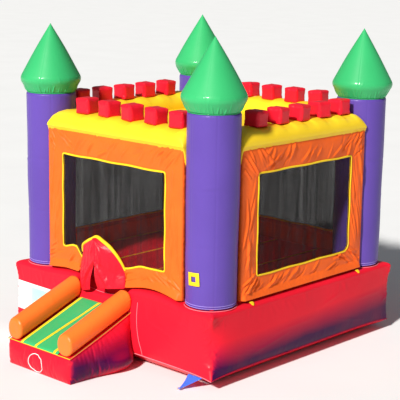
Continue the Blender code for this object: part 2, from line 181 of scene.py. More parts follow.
def scrim_bump(tree, place, coarse, fine, thread):
    """The surface relief of coated cloth: slow dents, orange peel and the threads below it."""
    normal = relief(tree, cloud(tree, place, 9.0, 3.0), coarse, 0.02)
    normal = relief(tree, cloud(tree, place, 60.0, 4.0), fine, 0.002, normal)
    for axis in ("X", "Z"):
        weave = node(tree, "TexWave", {"Vector": place, "Scale": 260.0}, bands_direction=axis)
        normal = relief(tree, weave.outputs["Fac"], thread, 0.0006, normal)
    return normal


def painted_side_shade(tree, place):
    """How far a point lies in the painted shade: low down, a little higher towards the rear, on a
    face that looks left or right.
    """
    parts = node(tree, "SeparateXYZ", {"Vector": place})
    height = calculated(tree, "ADD", parts.outputs["Z"],
                        calculated(tree, "MULTIPLY", parts.outputs["Y"], -0.03))
    facing = node(tree, "SeparateXYZ", {"Vector": node(tree, "NewGeometry").outputs["Normal"]})
    sideways = calculated(tree, "ABSOLUTE", facing.outputs["X"])
    amount = calculated(tree, "MULTIPLY", faded(tree, height, 0.32, 0.68, 1.0, 0.0),
                        faded(tree, sideways, 0.62, 0.93, 0.0, 0.96))
    uneven = spread(tree, cloud(tree, place, 1.6, 3.0), 0.75, 1.25)
    return calculated(tree, "MULTIPLY", amount, uneven, use_clamp=True)


def vinyl(name, colour, gloss=0.34, coat=0.06, specular=0.26, shade=None):
    """Coated cloth under tension: even colour, soft gloss, and, where shade is given, a painted
    shade low on the faces that look left or right.
    """
    material, tree, shader, place = start_material(name)
    paint = mottled(tree, place, colour, 0.93, 1.05, 1.1)
    # Painted shade: a dark tint mixed into the colour low down on the left and right faces.
    if shade:
        paint = blended(tree, painted_side_shade(tree, place), paint, (*shade, 1.0))
    feed(tree, shader, {
        "Base Color": paint,
        "Roughness": spread(tree, cloud(tree, place, 3.5, 5.0), gloss - 0.08, gloss + 0.12),
        "Normal": scrim_bump(tree, place, 0.10, 0.08, 0.05),
        "Specular IOR Level": specular, "Coat Weight": coat, "Coat Roughness": 0.13})
    return material


def slack_cloth(name, colour, gloss=0.42):
    """The same cloth where nothing stretches it: shallow creases in all directions."""
    material, tree, shader, place = start_material(name)
    feed(tree, shader, {
        "Base Color": mottled(tree, place, colour, 0.90, 1.06, 2.2),
        "Roughness": spread(tree, cloud(tree, place, 6.0, 5.0), gloss - 0.08, gloss + 0.14),
        "Normal": relief(tree, cloud(tree, place, 7.0, 3.0, 1.4), 0.30, 0.02,
                         scrim_bump(tree, place, 0.12, 0.10, 0.08)),
        "Specular IOR Level": 0.16})
    return material


def netting(name, thread, gaps):
    """Knitted safety net: black threads with holes between, closed up where it is gathered.

    thread is a thread's share of a mesh, and gaps is how closed the holes are, at the least and
    at the most.
    """
    meshes_per_metre = 95.0
    material, tree, shader, place = start_material(name)
    parts = node(tree, "SeparateXYZ", {"Vector": place})
    along = calculated(tree, "ADD", parts.outputs["X"], parts.outputs["Y"])
    folds = node(tree, "CombineXYZ", {"X": along, "Z": parts.outputs["Z"]}).outputs["Vector"]
    squeezed = node(tree, "Mapping", {"Vector": folds, "Scale": (5.5, 1.0, 0.35)})
    closed = spread(tree, cloud(tree, squeezed.outputs["Vector"], 1.6, 3.0), *gaps)
    threads = []
    for value in (along, parts.outputs["Z"]):
        part = calculated(tree, "FRACT", calculated(tree, "MULTIPLY", value, meshes_per_metre))
        threads.append(calculated(tree, "LESS_THAN", part, thread))
    weave = calculated(tree, "MAXIMUM", *threads)
    feed(tree, shader, {
        "Base Color": mottled(tree, place, (0.014, 0.014, 0.015), 0.6, 1.4, 3.0),
        "Alpha": calculated(tree, "MAXIMUM", weave, closed, use_clamp=True),
        "Roughness": 0.75, "Specular IOR Level": 0.2})
    return material


def webbing(name, colour):
    """Woven nylon tape with its ribs across."""
    material, tree, shader, place = start_material(name)
    ribs = node(tree, "TexWave", {"Vector": place, "Scale": 140.0, "Distortion": 0.6},
                bands_direction="Y").outputs["Fac"]
    feed(tree, shader, {
        "Base Color": blended(tree, ribs, scaled(colour, 0.62), scaled(colour, 1.12)),
        "Normal": relief(tree, ribs, 0.5, 0.0012), "Roughness": 0.62, "Sheen Weight": 0.25})
    return material


def galvanised(name):
    """Zinc-coated steel wire with a spangled, slightly dull surface."""
    material, tree, shader, place = start_material(name)
    feed(tree, shader, {
        "Base Color": mottled(tree, place, (0.62, 0.63, 0.65), 0.75, 1.15, 90.0),
        "Roughness": spread(tree, cloud(tree, place, 160.0, 4.0), 0.22, 0.46), "Metallic": 1.0})
    return material


RED = (0.80, 0.011, 0.030)
YELLOW = (1.0, 0.66, 0.020)

red_vinyl = vinyl("red_vinyl", RED, gloss=0.36, specular=0.20)
# The base's and the ramp's red, with a painted shade of dark purple low on their left and right
# faces.
painted_shade_vinyl = vinyl("red_vinyl_painted_shade", RED, gloss=0.38, coat=0.02, specular=0.12,
                   shade=(0.050, 0.002, 0.055))
purple_vinyl = vinyl("purple_vinyl", (0.112, 0.060, 0.350), gloss=0.38, specular=0.20)
green_vinyl = vinyl("green_vinyl", (0.037, 0.44, 0.145), gloss=0.46, coat=0.35, specular=0.20)
yellow_vinyl = vinyl("yellow_vinyl", YELLOW, gloss=0.42)
orange_vinyl = vinyl("orange_vinyl", (0.96, 0.185, 0.024), gloss=0.36)
orange_fabric = slack_cloth("orange_fabric", (0.96, 0.140, 0.016))
red_fabric = slack_cloth("red_fabric", RED, gloss=0.30)
yellow_binding = slack_cloth("yellow_binding", YELLOW)
pink_thread = slack_cloth("pink_welt", (0.95, 0.22, 0.28))
lilac_thread = slack_cloth("lilac_welt", (0.42, 0.32, 0.82))
olive_welt = slack_cloth("olive_welt", (0.42, 0.33, 0.06))
white_panel = slack_cloth("white_panel", (0.80, 0.80, 0.80))
mint_panel = slack_cloth("mint_panel", (0.45, 0.80, 0.66))
black_net = netting("black_netting", 0.17, (-0.75, 1.05))
double_net = netting("black_netting_double", 0.50, (0.38, 1.08))
blue_webbing = webbing("blue_webbing", (0.035, 0.150, 0.85))
steel = galvanised("ring_steel")


# ---------------------------------------------------------------- mesh helpers

def placed(name, data):
    """An object in the scene."""
    obj = bpy.data.objects.new(name, data)
    bpy.context.scene.collection.objects.link(obj)
    return obj


def new_object(name, vertices, faces, material):
    """A smooth mesh object from points and faces."""
    mesh = bpy.data.meshes.new(name)
    mesh.from_pydata([tuple(v) for v in vertices], [], [tuple(f) for f in faces])
    mesh.shade_smooth()
    mesh.materials.append(material)
    return placed(name, mesh)


def grid_object(name, points, material, wrap=False, caps=False):
    """A surface through a grid of points, closed round its columns if wrap, ended if caps."""
    rows, cols = points.shape[:2]
    index = np.arange(rows * cols).reshape(rows, cols)
    right = np.roll(index, -1, axis=1)
    last = cols if wrap else cols - 1
    corners = (index[:-1, :last], right[:-1, :last], right[1:, :last], index[1:, :last])
    faces = np.stack(corners, axis=-1).reshape(-1, 4).tolist()
    if caps:
        faces.append(index[0, ::-1].tolist())
        faces.append(index[-1].tolist())
    return new_object(name, points.reshape(-1, 3), faces, material)


def weld(obj):
    """Join points that lie together and turn every face outward."""
    bm = bmesh.new()
    bm.from_mesh(obj.data)
    bmesh.ops.remove_doubles(bm, verts=bm.verts, dist=1e-5)
    bmesh.ops.recalc_face_normals(bm, faces=bm.faces)
    bm.to_mesh(obj.data)
    bm.free()
    obj.data.shade_smooth()


def vertex_array(obj):
    """A mesh's points as an array."""
    return np.array([v.co for v in obj.data.vertices])


def move_vertices(obj, points):
    """Put a mesh's points where an array says."""
    obj.data.vertices.foreach_set("co", points.astype(np.float32).ravel())
    obj.data.update()


def joined(*parts):
    """Points from their coordinates, each a number or a grid."""
    return np.stack(np.broadcast_arrays(*parts), axis=-1)


def turn_points(points, side):
    """Points built on the front, carried to another side of the square."""
    angle = math.radians(SIDES[side])
    c, s = round(math.cos(angle)), round(math.sin(angle))
    turned = np.array(points, float)
    turned[..., 0] = c * points[..., 0] - s * points[..., 1]
    turned[..., 1] = s * points[..., 0] + c * points[..., 1]
    return turned


def smooth_step(x, low, high):
    """0 below low, 1 above high, and an even turn between."""
    t = np.clip((x - low) / (high - low), 0, 1)
    return t * t * (3 - 2 * t)


def about(middle, reach):
    """The range round a middle."""
    return middle - reach, middle + reach


def random_strokes(rng, count, *limits):
    """Strokes for creases(), each of their six numbers drawn from its range or given as it is."""
    return [tuple(part[0] + (part[1] - part[0]) * rng.random() if isinstance(part, tuple) else part
                  for part in limits) for _ in range(count)]


def creases(a, b, strokes):
    """The height of a set of creases over surface coordinates a and b, in metres.

    A stroke is its middle, its direction, half its length, its width and its height.
    """
    total = np.zeros(np.broadcast(a, b).shape)
    for ca, cb, angle, length, width, height in strokes:
        along = (a - ca) * math.cos(angle) + (b - cb) * math.sin(angle)
        across = (b - cb) * math.cos(angle) - (a - ca) * math.sin(angle)
        q = (across / width) ** 2
        total += height * (1 - q) * np.exp(-q - (along / length) ** 4)
    return total


def slow_waves(points, scale, height, seed):
    """Soft dents over a surface, from smooth noise at each point."""
    flat = points.reshape(-1, 3)
    shift = Vector((seed * 7.3, seed * 3.1, seed * 5.7))
    values = [noise.noise(Vector(p) * scale + shift) for p in flat]
    return height * np.array(values).reshape(points.shape[:-1])


def smooth_path(points, count):
    """Evenly spaced points on a smooth curve through a few given ones."""
    p = np.array(points, float)
    step = np.linalg.norm(np.diff(p, axis=0), axis=1)
    at = np.concatenate([[0], np.cumsum(step)])
    tangents = np.gradient(p, at, axis=0)
    wanted = np.linspace(0, at[-1], count)
    index = np.clip(np.searchsorted(at, wanted, side="right") - 1, 0, len(p) - 2)
    width = (at[index + 1] - at[index])[:, None]
    t = ((wanted - at[index])[:, None]) / width
    a, b = p[index], p[index + 1]
    ta, tb = tangents[index] * width, tangents[index + 1] * width
    return ((2 * t ** 3 - 3 * t ** 2 + 1) * a + (t ** 3 - 2 * t ** 2 + t) * ta
            + (-2 * t ** 3 + 3 * t ** 2) * b + (t ** 3 - t ** 2) * tb)


def front_caster(obj):
    """A function that lays a point (x, z) on the piece's front, lifted off it a little."""
    quads = [list(p.vertices) for p in obj.data.polygons if len(p.vertices) <= 4]
    tree = BVHTree.FromPolygons([v.co.copy() for v in obj.data.vertices], quads)

    def lie_on(x, z, lift):
        place = tree.ray_cast(Vector((x, -6.0, z)), Vector((0, 1, 0)))[0]
        return (x, place.y - lift, z)

    return lie_on


def attach(obj, slot, *replaced):
    """Put a finished piece on the inflatable and hide the solids it stands for; slot is not used.
    """
    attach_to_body(obj, BODY)
    if replaced:
        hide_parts(*replaced)
    return obj


def chamber(name, points, material, slot, node_name):
    """An air chamber: a closed skin round a grid of points, blown tight."""
    obj = grid_object(name, points, material, wrap=True, caps=True)
    weld(obj)
    attach(obj, slot, node_name)
    return obj


def thicken(obj, thickness, offset=0.0):
    """Give a single surface the thickness of its cloth."""
    solid = obj.modifiers.new("cloth", "SOLIDIFY")
    solid.thickness = thickness
    solid.offset = offset


def subdivide(obj):
    """Smooth a piece's mesh."""
    smooth = obj.modifiers.new("smooth", "SUBSURF")
    smooth.levels = smooth.render_levels = 1


def cloth_piece(name, points, material, slot, thickness, *replaced, wrap=False, smooth=False,
                offset=0.0):
    """A piece of cloth through a grid of points, sewn to the inflatable."""
    obj = grid_object(name, points, material, wrap=wrap)
    thicken(obj, thickness, offset)
    if smooth:
        subdivide(obj)
    return attach(obj, slot, *replaced)


def welts(name, paths, radius, material, slot, closed=False, taper=None):
    """Sewn piping or thread lines along paths, as one piece, thinner where taper says so."""
    curve = bpy.data.curves.new(name, "CURVE")
    curve.dimensions = "3D"
    curve.bevel_depth = radius
    curve.bevel_resolution = 2
    curve.use_fill_caps = True
    curve.materials.append(material)
    for path in paths:
        spline = curve.splines.new("POLY")
        spline.points.add(len(path) - 1)
        spline.use_cyclic_u = closed
        for number, (point, place) in enumerate(zip(spline.points, path)):
            point.co = (*place, 1.0)
            point.radius = taper[number] if taper is not None else 1.0
    return attach(placed(name, curve), slot)


def inflate(obj, pressure, cap, pinned, stiffness, bending, shrink, frames=20):
    """Blow a closed mesh up as a sewn bag, and keep each point within cap of where it was."""
    rest = vertex_array(obj)
    group = obj.vertex_groups.new(name="pinned")
    group.add([int(i) for i in pinned], 1.0, "ADD")
    cloth = obj.modifiers.new("bag", "CLOTH")
    settings = {
        "quality": 6, "mass": 0.3, "tension_stiffness": stiffness,
        "compression_stiffness": stiffness, "shear_stiffness": stiffness / 2,
        "bending_stiffness": bending, "shrink_min": shrink, "use_pressure": True,
        "uniform_pressure_force": pressure, "vertex_group_mass": "pinned"}
    for name, value in settings.items():
        setattr(cloth.settings, name, value)
    cloth.settings.effector_weights.gravity = 0.0
    cloth.collision_settings.use_collision = False
    cloth.point_cache.frame_start = 1
    cloth.point_cache.frame_end = frames
    for step in range(1, frames + 1):
        bpy.context.scene.frame_set(step)
    blown = obj.evaluated_get(bpy.context.evaluated_depsgraph_get())
    moved = vertex_array(blown) - rest
    reach = np.linalg.norm(moved, axis=1, keepdims=True)
    moved *= np.minimum(1.0, cap / np.maximum(reach, 1e-9))
    obj.modifiers.remove(cloth)
    obj.vertex_groups.remove(group)
    move_vertices(obj, rest + moved)
    bpy.context.scene.frame_set(1)


def voxel_skin(obj, size):
    """Give a closed mesh even faces of one size."""
    remesh = obj.modifiers.new("even", "REMESH")
    remesh.mode = "VOXEL"
    remesh.voxel_size = size
    dense = bpy.data.meshes.new_from_object(
        obj.evaluated_get(bpy.context.evaluated_depsgraph_get()))
    material = obj.data.materials[0]
    obj.modifiers.remove(remesh)
    obj.data = dense
    obj.data.shade_smooth()
    if not obj.data.materials:
        obj.data.materials.append(material)


# ---------------------------------------------------------------- camera, light and floor

def make_camera():
    """The camera off the front right corner, a little above the spires and looking down."""
    place = Vector((12.2768, -13.3408, 5.7664))
    yaw, pitch, roll = (math.radians(d) for d in (42.87, 11.84, 0.9))
    forward = Vector((-math.sin(yaw) * math.cos(pitch), math.cos(yaw) * math.cos(pitch),
                      -math.sin(pitch)))
    level = Vector((math.cos(yaw), math.sin(yaw), 0.0))
    up = level.cross(forward)
    right = math.cos(roll) * level + math.sin(roll) * up
    top = -math.sin(roll) * level + math.cos(roll) * up
    data = bpy.data.cameras.new("camera")
    data.sensor_width = 36.0
    data.lens = 112.545
    data.clip_end = 1000.0
    camera = placed("camera", data)
    axes = Matrix((right, top, -forward)).transposed().to_4x4()
    camera.matrix_world = Matrix.Translation(place) @ axes
    bpy.context.scene.camera = camera


def make_light():
    """One soft-edged sun from the front, and a dim pale surround."""
    key = bpy.data.lights.new("key", "SUN")
    key.energy = 5.0
    key.angle = math.radians(5)
    key.color = (1.0, 0.98, 0.94)
    lamp = placed("key", key)
    azimuth, height = math.radians(12), math.radians(35)
    toward = Vector((math.sin(azimuth) * math.cos(height), -math.cos(azimuth) * math.cos(height),
                     math.sin(height)))
    lamp.rotation_mode = "QUATERNION"
    lamp.rotation_quaternion = toward.to_track_quat("Z", "Y")
    lamp.location = toward * 20
    world = bpy.data.worlds.new("surround")
    world.use_nodes = True
    feed(world.node_tree, world.node_tree.nodes["Background"],
         {"Color": (0.86, 0.92, 1.0, 1.0), "Strength": 0.17})
    bpy.context.scene.world = world
    bpy.context.scene.view_settings.view_transform = "Standard"


def make_floor_plane():
    """A wide pale floor."""
    reach = 400.0
    material, tree, shader, place = start_material("pale_floor")
    feed(tree, shader, {
        "Base Color": mottled(tree, place, (0.90, 0.90, 0.90), 0.985, 1.015, 0.6),
        "Roughness": 0.9})
    corners = [(-reach, -reach, 0), (reach, -reach, 0), (reach, reach, 0), (-reach, reach, 0)]
    new_object("floor", corners, [(0, 1, 2, 3)], material)


make_camera()
make_light()
make_floor_plane()


# ---------------------------------------------------------------- base mattress

GROUND_SEAM = 0.145
SIDE_TOP = 0.985
FACE_POINTS = 180


def door_dip(x, y, z):
    """How far the base's front edge is drawn down under the doorway."""
    across = smooth_step(x, -0.69, -0.57) * (1 - smooth_step(x, 0.31, 0.43))
    return 0.135 * across * (1 - smooth_step(y, -1.90, -1.80)) * smooth_step(z, 0.72, 0.98)


def front_rise(x):
    """How far the mattress swells up behind the front panel's hem, left and right of the door."""
    left = smooth_step(x, -1.34, -0.80) * (1 - smooth_step(x, -0.62, -0.50))
    right = np.sin(math.pi * np.clip((x - 0.30) / 1.045, 0, 1)) ** 0.8
    return 0.045 * left + 0.072 * right


def base_section():
    """The mattress's rows as (height, inset, bulge), and which one is the ground seam."""
    rows = [(0.000, 0.480, 0.0), (0.003, 0.360, 0.0), (0.022, 0.250, 0.0), (0.062, 0.150, 0.0),
            (0.110, 0.058, 0.0)]
    seam_row = len(rows)
    for t in np.arange(50) / 50:
        swell = math.sin(math.pi * t ** 0.85) ** 0.85
        rows.append((GROUND_SEAM + (SIDE_TOP - GROUND_SEAM) * t, 0.004 + 0.004 * swell,
                     0.004 + 0.038 * swell))
    rows += [(SIDE_TOP, 0.004, 0.010), (1.008, 0.014, 0.010), (1.024, 0.036, 0.008),
             (1.034, 0.062, 0.006), (1.036, 0.095, 0.003), (1.034, 0.140, 0.0), (1.033, 0.20, 0.0),
             (1.032, 0.30, 0.0), (1.031, 0.62, 0.0)]
    return rows, seam_row


def base_outline(z, inset, bulge, power):
    """A level outline of the mattress. The higher the power, the sharper its corners."""
    t = np.linspace(-1, 1, FACE_POINTS + 1)[:-1]
    s = 0.45 * t + 0.55 * np.sin(t * math.pi / 2)
    pull = (np.abs(s) ** power + 1) ** (-1 / power)
    half = BASE_HALF - inset
    face = joined(half * s * pull, -half * pull - bulge * (1 - np.abs(s) ** 3), z)
    return np.concatenate([turn_points(face, side) for side in SIDES])


def base_row(z, inset, bulge):
    """One row of the mattress, with the near corner rounder between its seams."""
    sharp = base_outline(z, inset, bulge, 90)
    if not GROUND_SEAM <= z <= SIDE_TOP:
        return sharp
    loose = math.sin(math.pi * (z - GROUND_SEAM) / (SIDE_TOP - GROUND_SEAM))
    near = (sharp[:, 0] > 0) & (sharp[:, 1] < 0)
    return sharp + (base_outline(z, inset, bulge, 13) - sharp) * (loose * near)[:, None]


def base_strokes(rng, face):
    """The creases of one side of the mattress: at its corners, along its seams and across it."""
    strokes = []
    for end in (-1, 1):
        strokes += random_strokes(
            rng, 14, (end * (BASE_HALF - 0.05), end * (BASE_HALF - 0.26)), (0.22, 0.95),
            (-0.5, 0.5), (0.08, 0.20), (0.014, 0.026), (0.003, 0.008))
    strokes += random_strokes(rng, 34, (-1.8, 1.8), (0.18, 0.27), about(math.pi / 2, 0.3),
                              (0.05, 0.11), (0.013, 0.024), (0.0015, 0.005))
    strokes += random_strokes(rng, 26, (-1.8, 1.8), (0.84, 0.95), about(math.pi / 2, 0.6),
                              (0.06, 0.13), (0.015, 0.028), (0.002, 0.006))
    strokes += random_strokes(rng, 7, (-1.5, 1.5), (0.35, 0.8), (-0.4, 0.4), (0.15, 0.35),
                              (0.02, 0.035), (0.003, 0.006))
    if face == 0:
        strokes += [(0.80, 0.66, -0.35, 0.13, 0.016, 0.010), (0.92, 0.72, -0.5, 0.09, 0.014, 0.006),
                    (1.02, 0.585, -0.42, 0.17, 0.018, 0.009)]
    return strokes


def make_base():
    """The mattress: bulged sides between drawn-in corners, and a seam above the ground."""
    section, seam_row = base_section()
    points = np.array([base_row(*row) for row in section])
    along = np.concatenate([np.linspace(-BASE_HALF, BASE_HALF, FACE_POINTS)] * 4)[None, :]
    face_number = np.repeat(np.arange(4), FACE_POINTS)[None, :]
    heights = points[..., 2].copy()
    rng = np.random.default_rng(11)
    bumps = np.zeros_like(heights)
    for face in range(4):
        bumps += np.where(face_number == face,
                          creases(along, heights, base_strokes(rng, face)), 0.0)
    bumps *= smooth_step(heights, GROUND_SEAM, 0.20) * (1 - smooth_step(heights, 0.99, 1.02))
    bumps += slow_waves(points, 1.5, 0.014, 1) * smooth_step(heights, 0.13, 0.3)
    outward = points[..., :2] / np.linalg.norm(points[..., :2], axis=-1, keepdims=True)
    points[..., :2] += outward * bumps[..., None]
    to_corner = BASE_HALF - np.abs(along)
    by_ground_seam = np.exp(-((heights - GROUND_SEAM) / 0.10) ** 2)
    peak = (0.036 * np.exp(-(to_corner / 0.11) ** 2) * np.exp(-((heights - SIDE_TOP) / 0.13) ** 2)
            + 0.012 * np.exp(-(to_corner / 0.10) ** 2) * by_ground_seam)
    points[..., :2] += outward * (peak * (heights > 0.1))[..., None]
    side_lift = 0.050 * (1 - (along / BASE_HALF) ** 4) * by_ground_seam
    points[..., 2] += side_lift * (heights > 0.05)
    on_front = (face_number == 0) * smooth_step(heights, 0.88, 1.03)
    depth = 1 - smooth_step(points[..., 1], -1.84, -1.55)
    points[..., 2] += front_rise(points[..., 0]) * on_front * depth
    points[..., 2] -= door_dip(points[..., 0], points[..., 1], heights)
    base = chamber("base_skin", points, painted_shade_vinyl, "red_vinyl", "base_mattress")

    ground = points[seam_row].copy()
    ground[:, :2] += outward[seam_row] * 0.004
    front, sides = ground[:FACE_POINTS + 1], np.concatenate([ground[FACE_POINTS:], ground[:1]])
    welts("base_ground_seam", [front], 0.0055, pink_thread, "red_vinyl")
    # Round the other sides the ground seam is the base's red, not pink, and takes its painted
    # shade, so it reads dark there.
    welts("base_ground_seam_sides", [sides], 0.0050, painted_shade_vinyl, "red_vinyl")
    lie_on = front_caster(base)
    pleat = smooth_path([(0.70, 0, 0.15), (0.71, 0, 0.26), (0.665, 0, 0.42), (0.630, 0, 0.615),
                         (0.617, 0, 0.80), (0.617, 0, 0.93)], 40)
    sill = [(x, 0, 0.905 + 0.004 * math.sin(9 * x)) for x in np.linspace(-0.60, 0.33, 24)]
    for name, path in (("base_pleat_seam", pleat), ("door_sill_seam", sill)):
        laid = [lie_on(x, z, 0.001) for x, y, z in path]
        welts(name, [laid], 0.0040, pink_thread, "red_vinyl")
    return lie_on


lie_on_base = make_base()


# ---------------------------------------------------------------- columns and spires

HEAD_LIFT = {"front_left": 0.010, "front_right": 0.045, "rear_right": -0.018, "rear_left": 0.042}


def around_axis(profile, steps):
    """The angles round an axis, and a (radius, along) profile as two columns of a grid."""
    radii, along = np.array(profile).T[..., None]
    return np.linspace(0, TURN, steps, endpoint=False), radii, along


def turned_points(profile, steps, centre):
    """A (radius, height) profile turned about an upright axis."""
    angles, radii, heights = around_axis(profile, steps)
    points = joined(radii * np.cos(angles), radii * np.sin(angles), heights)
    points[..., :2] += centre
    return points, angles


def swell_round(points, angles, height):
    """Move a turned piece's points out from its axis."""
    points[..., :2] += joined(np.cos(angles), np.sin(angles)) * height[..., None]


def upright_seams(angles, radius, count, start, depth):
    """The grooves of the seams between a turned piece's upright panels."""
    groove = np.zeros_like(angles)
    for panel in range(count):
        gap = (angles - panel * TURN / count - start + math.pi) % TURN - math.pi
        groove += depth * np.exp(-(np.abs(gap) * radius / 0.007) ** 2)
    return groove[None, :]


def corner_centre(corner):
    """A column's axis in plan, read from its solid."""
    low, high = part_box("column_" + corner)
    return np.array([(low.x + high.x) / 2, (low.y + high.y) / 2])


def ring(centre, radius, height, steps=72):
    """A level circle of points."""
    angles = np.linspace(0, TURN, steps, endpoint=False)
    return joined(centre[0] + radius * np.cos(angles), centre[1] + radius * np.sin(angles), height)


def make_column(corner, seed):
    """A round column of six upright panels between a gathered foot and a gathered head."""
    centre = corner_centre(corner)
    foot, head = BASE_TOP + 0.002, COLUMN_TOP + HEAD_LIFT[corner]
    wide, r = COLUMN_RADIUS, COLUMN_RADIUS * 0.965
    profile = [(r - 0.15, foot), (r - 0.05, foot), (r - 0.020, foot + 0.008),
               (r - 0.006, foot + 0.026), (r - 0.004, foot + 0.045)]
    profile += [(r * (1 + 0.050 * t ** 0.8), foot + 0.065 + (head - foot - 0.095) * t)
                for t in np.linspace(0, 1, 110)]
    profile += [(wide + 0.002, head - 0.016), (wide - 0.008, head - 0.004),
                (wide - 0.05, head + 0.001), (wide - 0.15, head + 0.001)]
    points, angles = turned_points(profile, 220, centre)
    heights = points[..., 2]
    rng = np.random.default_rng(40 + seed)
    strokes = []
    for _ in range(44):
        strokes += random_strokes(rng, 1, (0.0, TURN * r), (foot + 0.03, foot + 0.13),
                                  about(math.pi / 2, 0.4), (0.03, 0.08), (0.008, 0.014),
                                  (0.0012, 0.003))
        strokes += random_strokes(rng, 1, (0.0, TURN * r), (head - 0.02, head - 0.08),
                                  about(math.pi / 2, 0.3), (0.03, 0.06), (0.008, 0.014),
                                  (0.001, 0.0025))
    strokes += random_strokes(rng, 16, (0.0, TURN * r), (1.3, 3.3), (-0.5, 0.5), (0.08, 0.2),
                              (0.012, 0.02), (0.002, 0.005))
    bumps = creases(angles[None, :] * r, heights, strokes)
    bumps -= upright_seams(angles, r, 6, 0.35, 0.0035)
    for band in (1.86, 2.62):
        bumps -= 0.0042 * np.exp(-((heights - band) / 0.010) ** 2)
    bumps += slow_waves(points, 1.3, 0.010, 20 + seed)
    swell_round(points, angles, bumps)
    chamber(f"column_skin_{corner}", points, purple_vinyl, "purple_vinyl", "column_" + corner)
    foot_welts = [ring(centre, r - 0.002, foot + 0.034), ring(centre, r - 0.001, foot + 0.064)]
    welts(f"column_foot_welts_{corner}", foot_welts, 0.0035, lilac_thread, "purple_vinyl",
          closed=True)
    welts(f"base_foot_seam_{corner}", [ring(centre, r + 0.012, BASE_TOP + 0.007)],
          0.005, pink_thread, "red_vinyl", closed=True)


def make_spire(corner, seed):
    """An onion spire: a plain cone over a bowl that is gathered into the column's seam."""
    centre = corner_centre(corner)
    seam = COLUMN_TOP + HEAD_LIFT[corner] + 0.002
    foot = COLUMN_RADIUS - 0.002
    wide = SPIRE_RADIUS * 1.035
    belly = seam + 0.190
    tip = SPIRE_TIP + 0.55 * HEAD_LIFT[corner] - 0.012
    turn = wide + 0.016
    start = seam + 0.018
    low = (foot + (turn - foot) * 0.66, start + (belly - start) * 0.66)
    high = (turn * (1 - 0.060 / (tip - belly)), belly + 0.060)
    profile = [(foot - 0.16, seam - 0.002), (foot - 0.035, seam - 0.001),
               (foot - 0.012, seam + 0.006), (foot - 0.002, seam + 0.016)]
    profile += [(foot + (low[0] - foot) * t, start + (low[1] - start) * t)
                for t in np.linspace(0.08, 0.97, 16)]
    for t in np.linspace(0, 1, 14):
        a, b, c = (1 - t) ** 2, 2 * t * (1 - t), t * t
        profile.append((a * low[0] + b * turn + c * high[0], a * low[1] + b * belly + c * high[1]))
    for t in np.linspace(0.02, 1, 44):
        radius = high[0] * (1 - t) + 0.008 * math.sin(math.pi * t)
        profile.append((max(radius, 0.002), high[1] + (tip - high[1]) * t))
    points, angles = turned_points(profile, 300, centre)
    heights = points[..., 2]
    rng = np.random.default_rng(70 + seed)
    strokes = []
    for gather in range(44):
        place = (gather + rng.uniform(-0.4, 0.4)) / 44 * TURN * wide
        tall = rng.uniform(0.030, 0.085)
        strokes.append((place, seam + 0.01 + tall * 0.6, math.pi / 2 + rng.uniform(-0.22, 0.22),
                        tall, rng.uniform(0.009, 0.017), rng.uniform(0.006, 0.015)))
    strokes += random_strokes(rng, 22, (0.0, TURN * wide), (belly - 0.04, belly + 0.02),
                              (0.9, 2.2), (0.03, 0.06), (0.010, 0.018), (0.001, 0.004))
    bumps = creases(angles[None, :] * wide, heights, strokes)
    bumps *= smooth_step(heights, seam, seam + 0.02)
    bumps -= upright_seams(angles, wide, 4, 0.5, 0.0028)
    bumps += slow_waves(points, 2.0, 0.007, 30 + seed)
    share = np.linalg.norm(points[..., :2] - centre, axis=-1) / wide
    swell_round(points, angles, bumps * np.minimum(1, share * 1.5))
    chamber(f"spire_skin_{corner}", points, green_vinyl, "green_vinyl", "spire_" + corner)
    welts(f"spire_seam_{corner}", [ring(centre, foot - 0.004, seam + 0.002, 96)],
          0.0045, green_vinyl, "green_vinyl", closed=True)


for number, corner in enumerate(CORNERS):
    make_column(corner, number)
    make_spire(corner, number)


# ---------------------------------------------------------------- beams and battlements

BEAM_MIDDLE = 1.62
BEAM_HALF = 1.345
WALL_SEAM = WALL_TOP + 0.040
SHOULDER = WALL_SEAM + 0.004


def battlement_places(side):
    """The middle of each battlement of one side, along the beam built on the front."""
    back = {"front": "front", "right": "left", "rear": "rear", "left": "right"}[side]
    places = []
    for number in range(1, 6):
        low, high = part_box(f"battlement_{side}_{number}")
        middle = np.array([[(low.x + high.x) / 2, (low.y + high.y) / 2, low.z]])
        places.append(float(turn_points(middle, back)[0, 0]))
    return sorted(places)


def beam_section():
    """The D of a beam: depths from the wall's plane, and heights, from its outer hem."""
    points = [(-0.010, WALL_SEAM - 0.014), (-0.020, WALL_SEAM - 0.006)]
    reach = WALL_PLANE - BEAM_MIDDLE
    for angle in math.pi * np.arange(29) / 28:
        c, s = math.cos(angle), math.sin(angle)
        y = BEAM_MIDDLE + (reach + 0.020) * math.copysign(abs(c) ** 0.86, c)
        points.append((WALL_PLANE - y, SHOULDER + (BEAM_TOP - SHOULDER) * abs(s) ** 0.78))
    depth = 2 * reach
    points += [(depth, WALL_TOP - 0.08), (depth - 0.005, BEAM_LOW + 0.12),
               (depth - 0.05, BEAM_LOW + 0.03), (depth - 0.14, BEAM_LOW), (0.16, BEAM_LOW),
               (0.06, BEAM_LOW + 0.05), (0.03, BEAM_LOW + 0.12), (0.02, WALL_TOP - 0.07)]
    return np.array(points).T


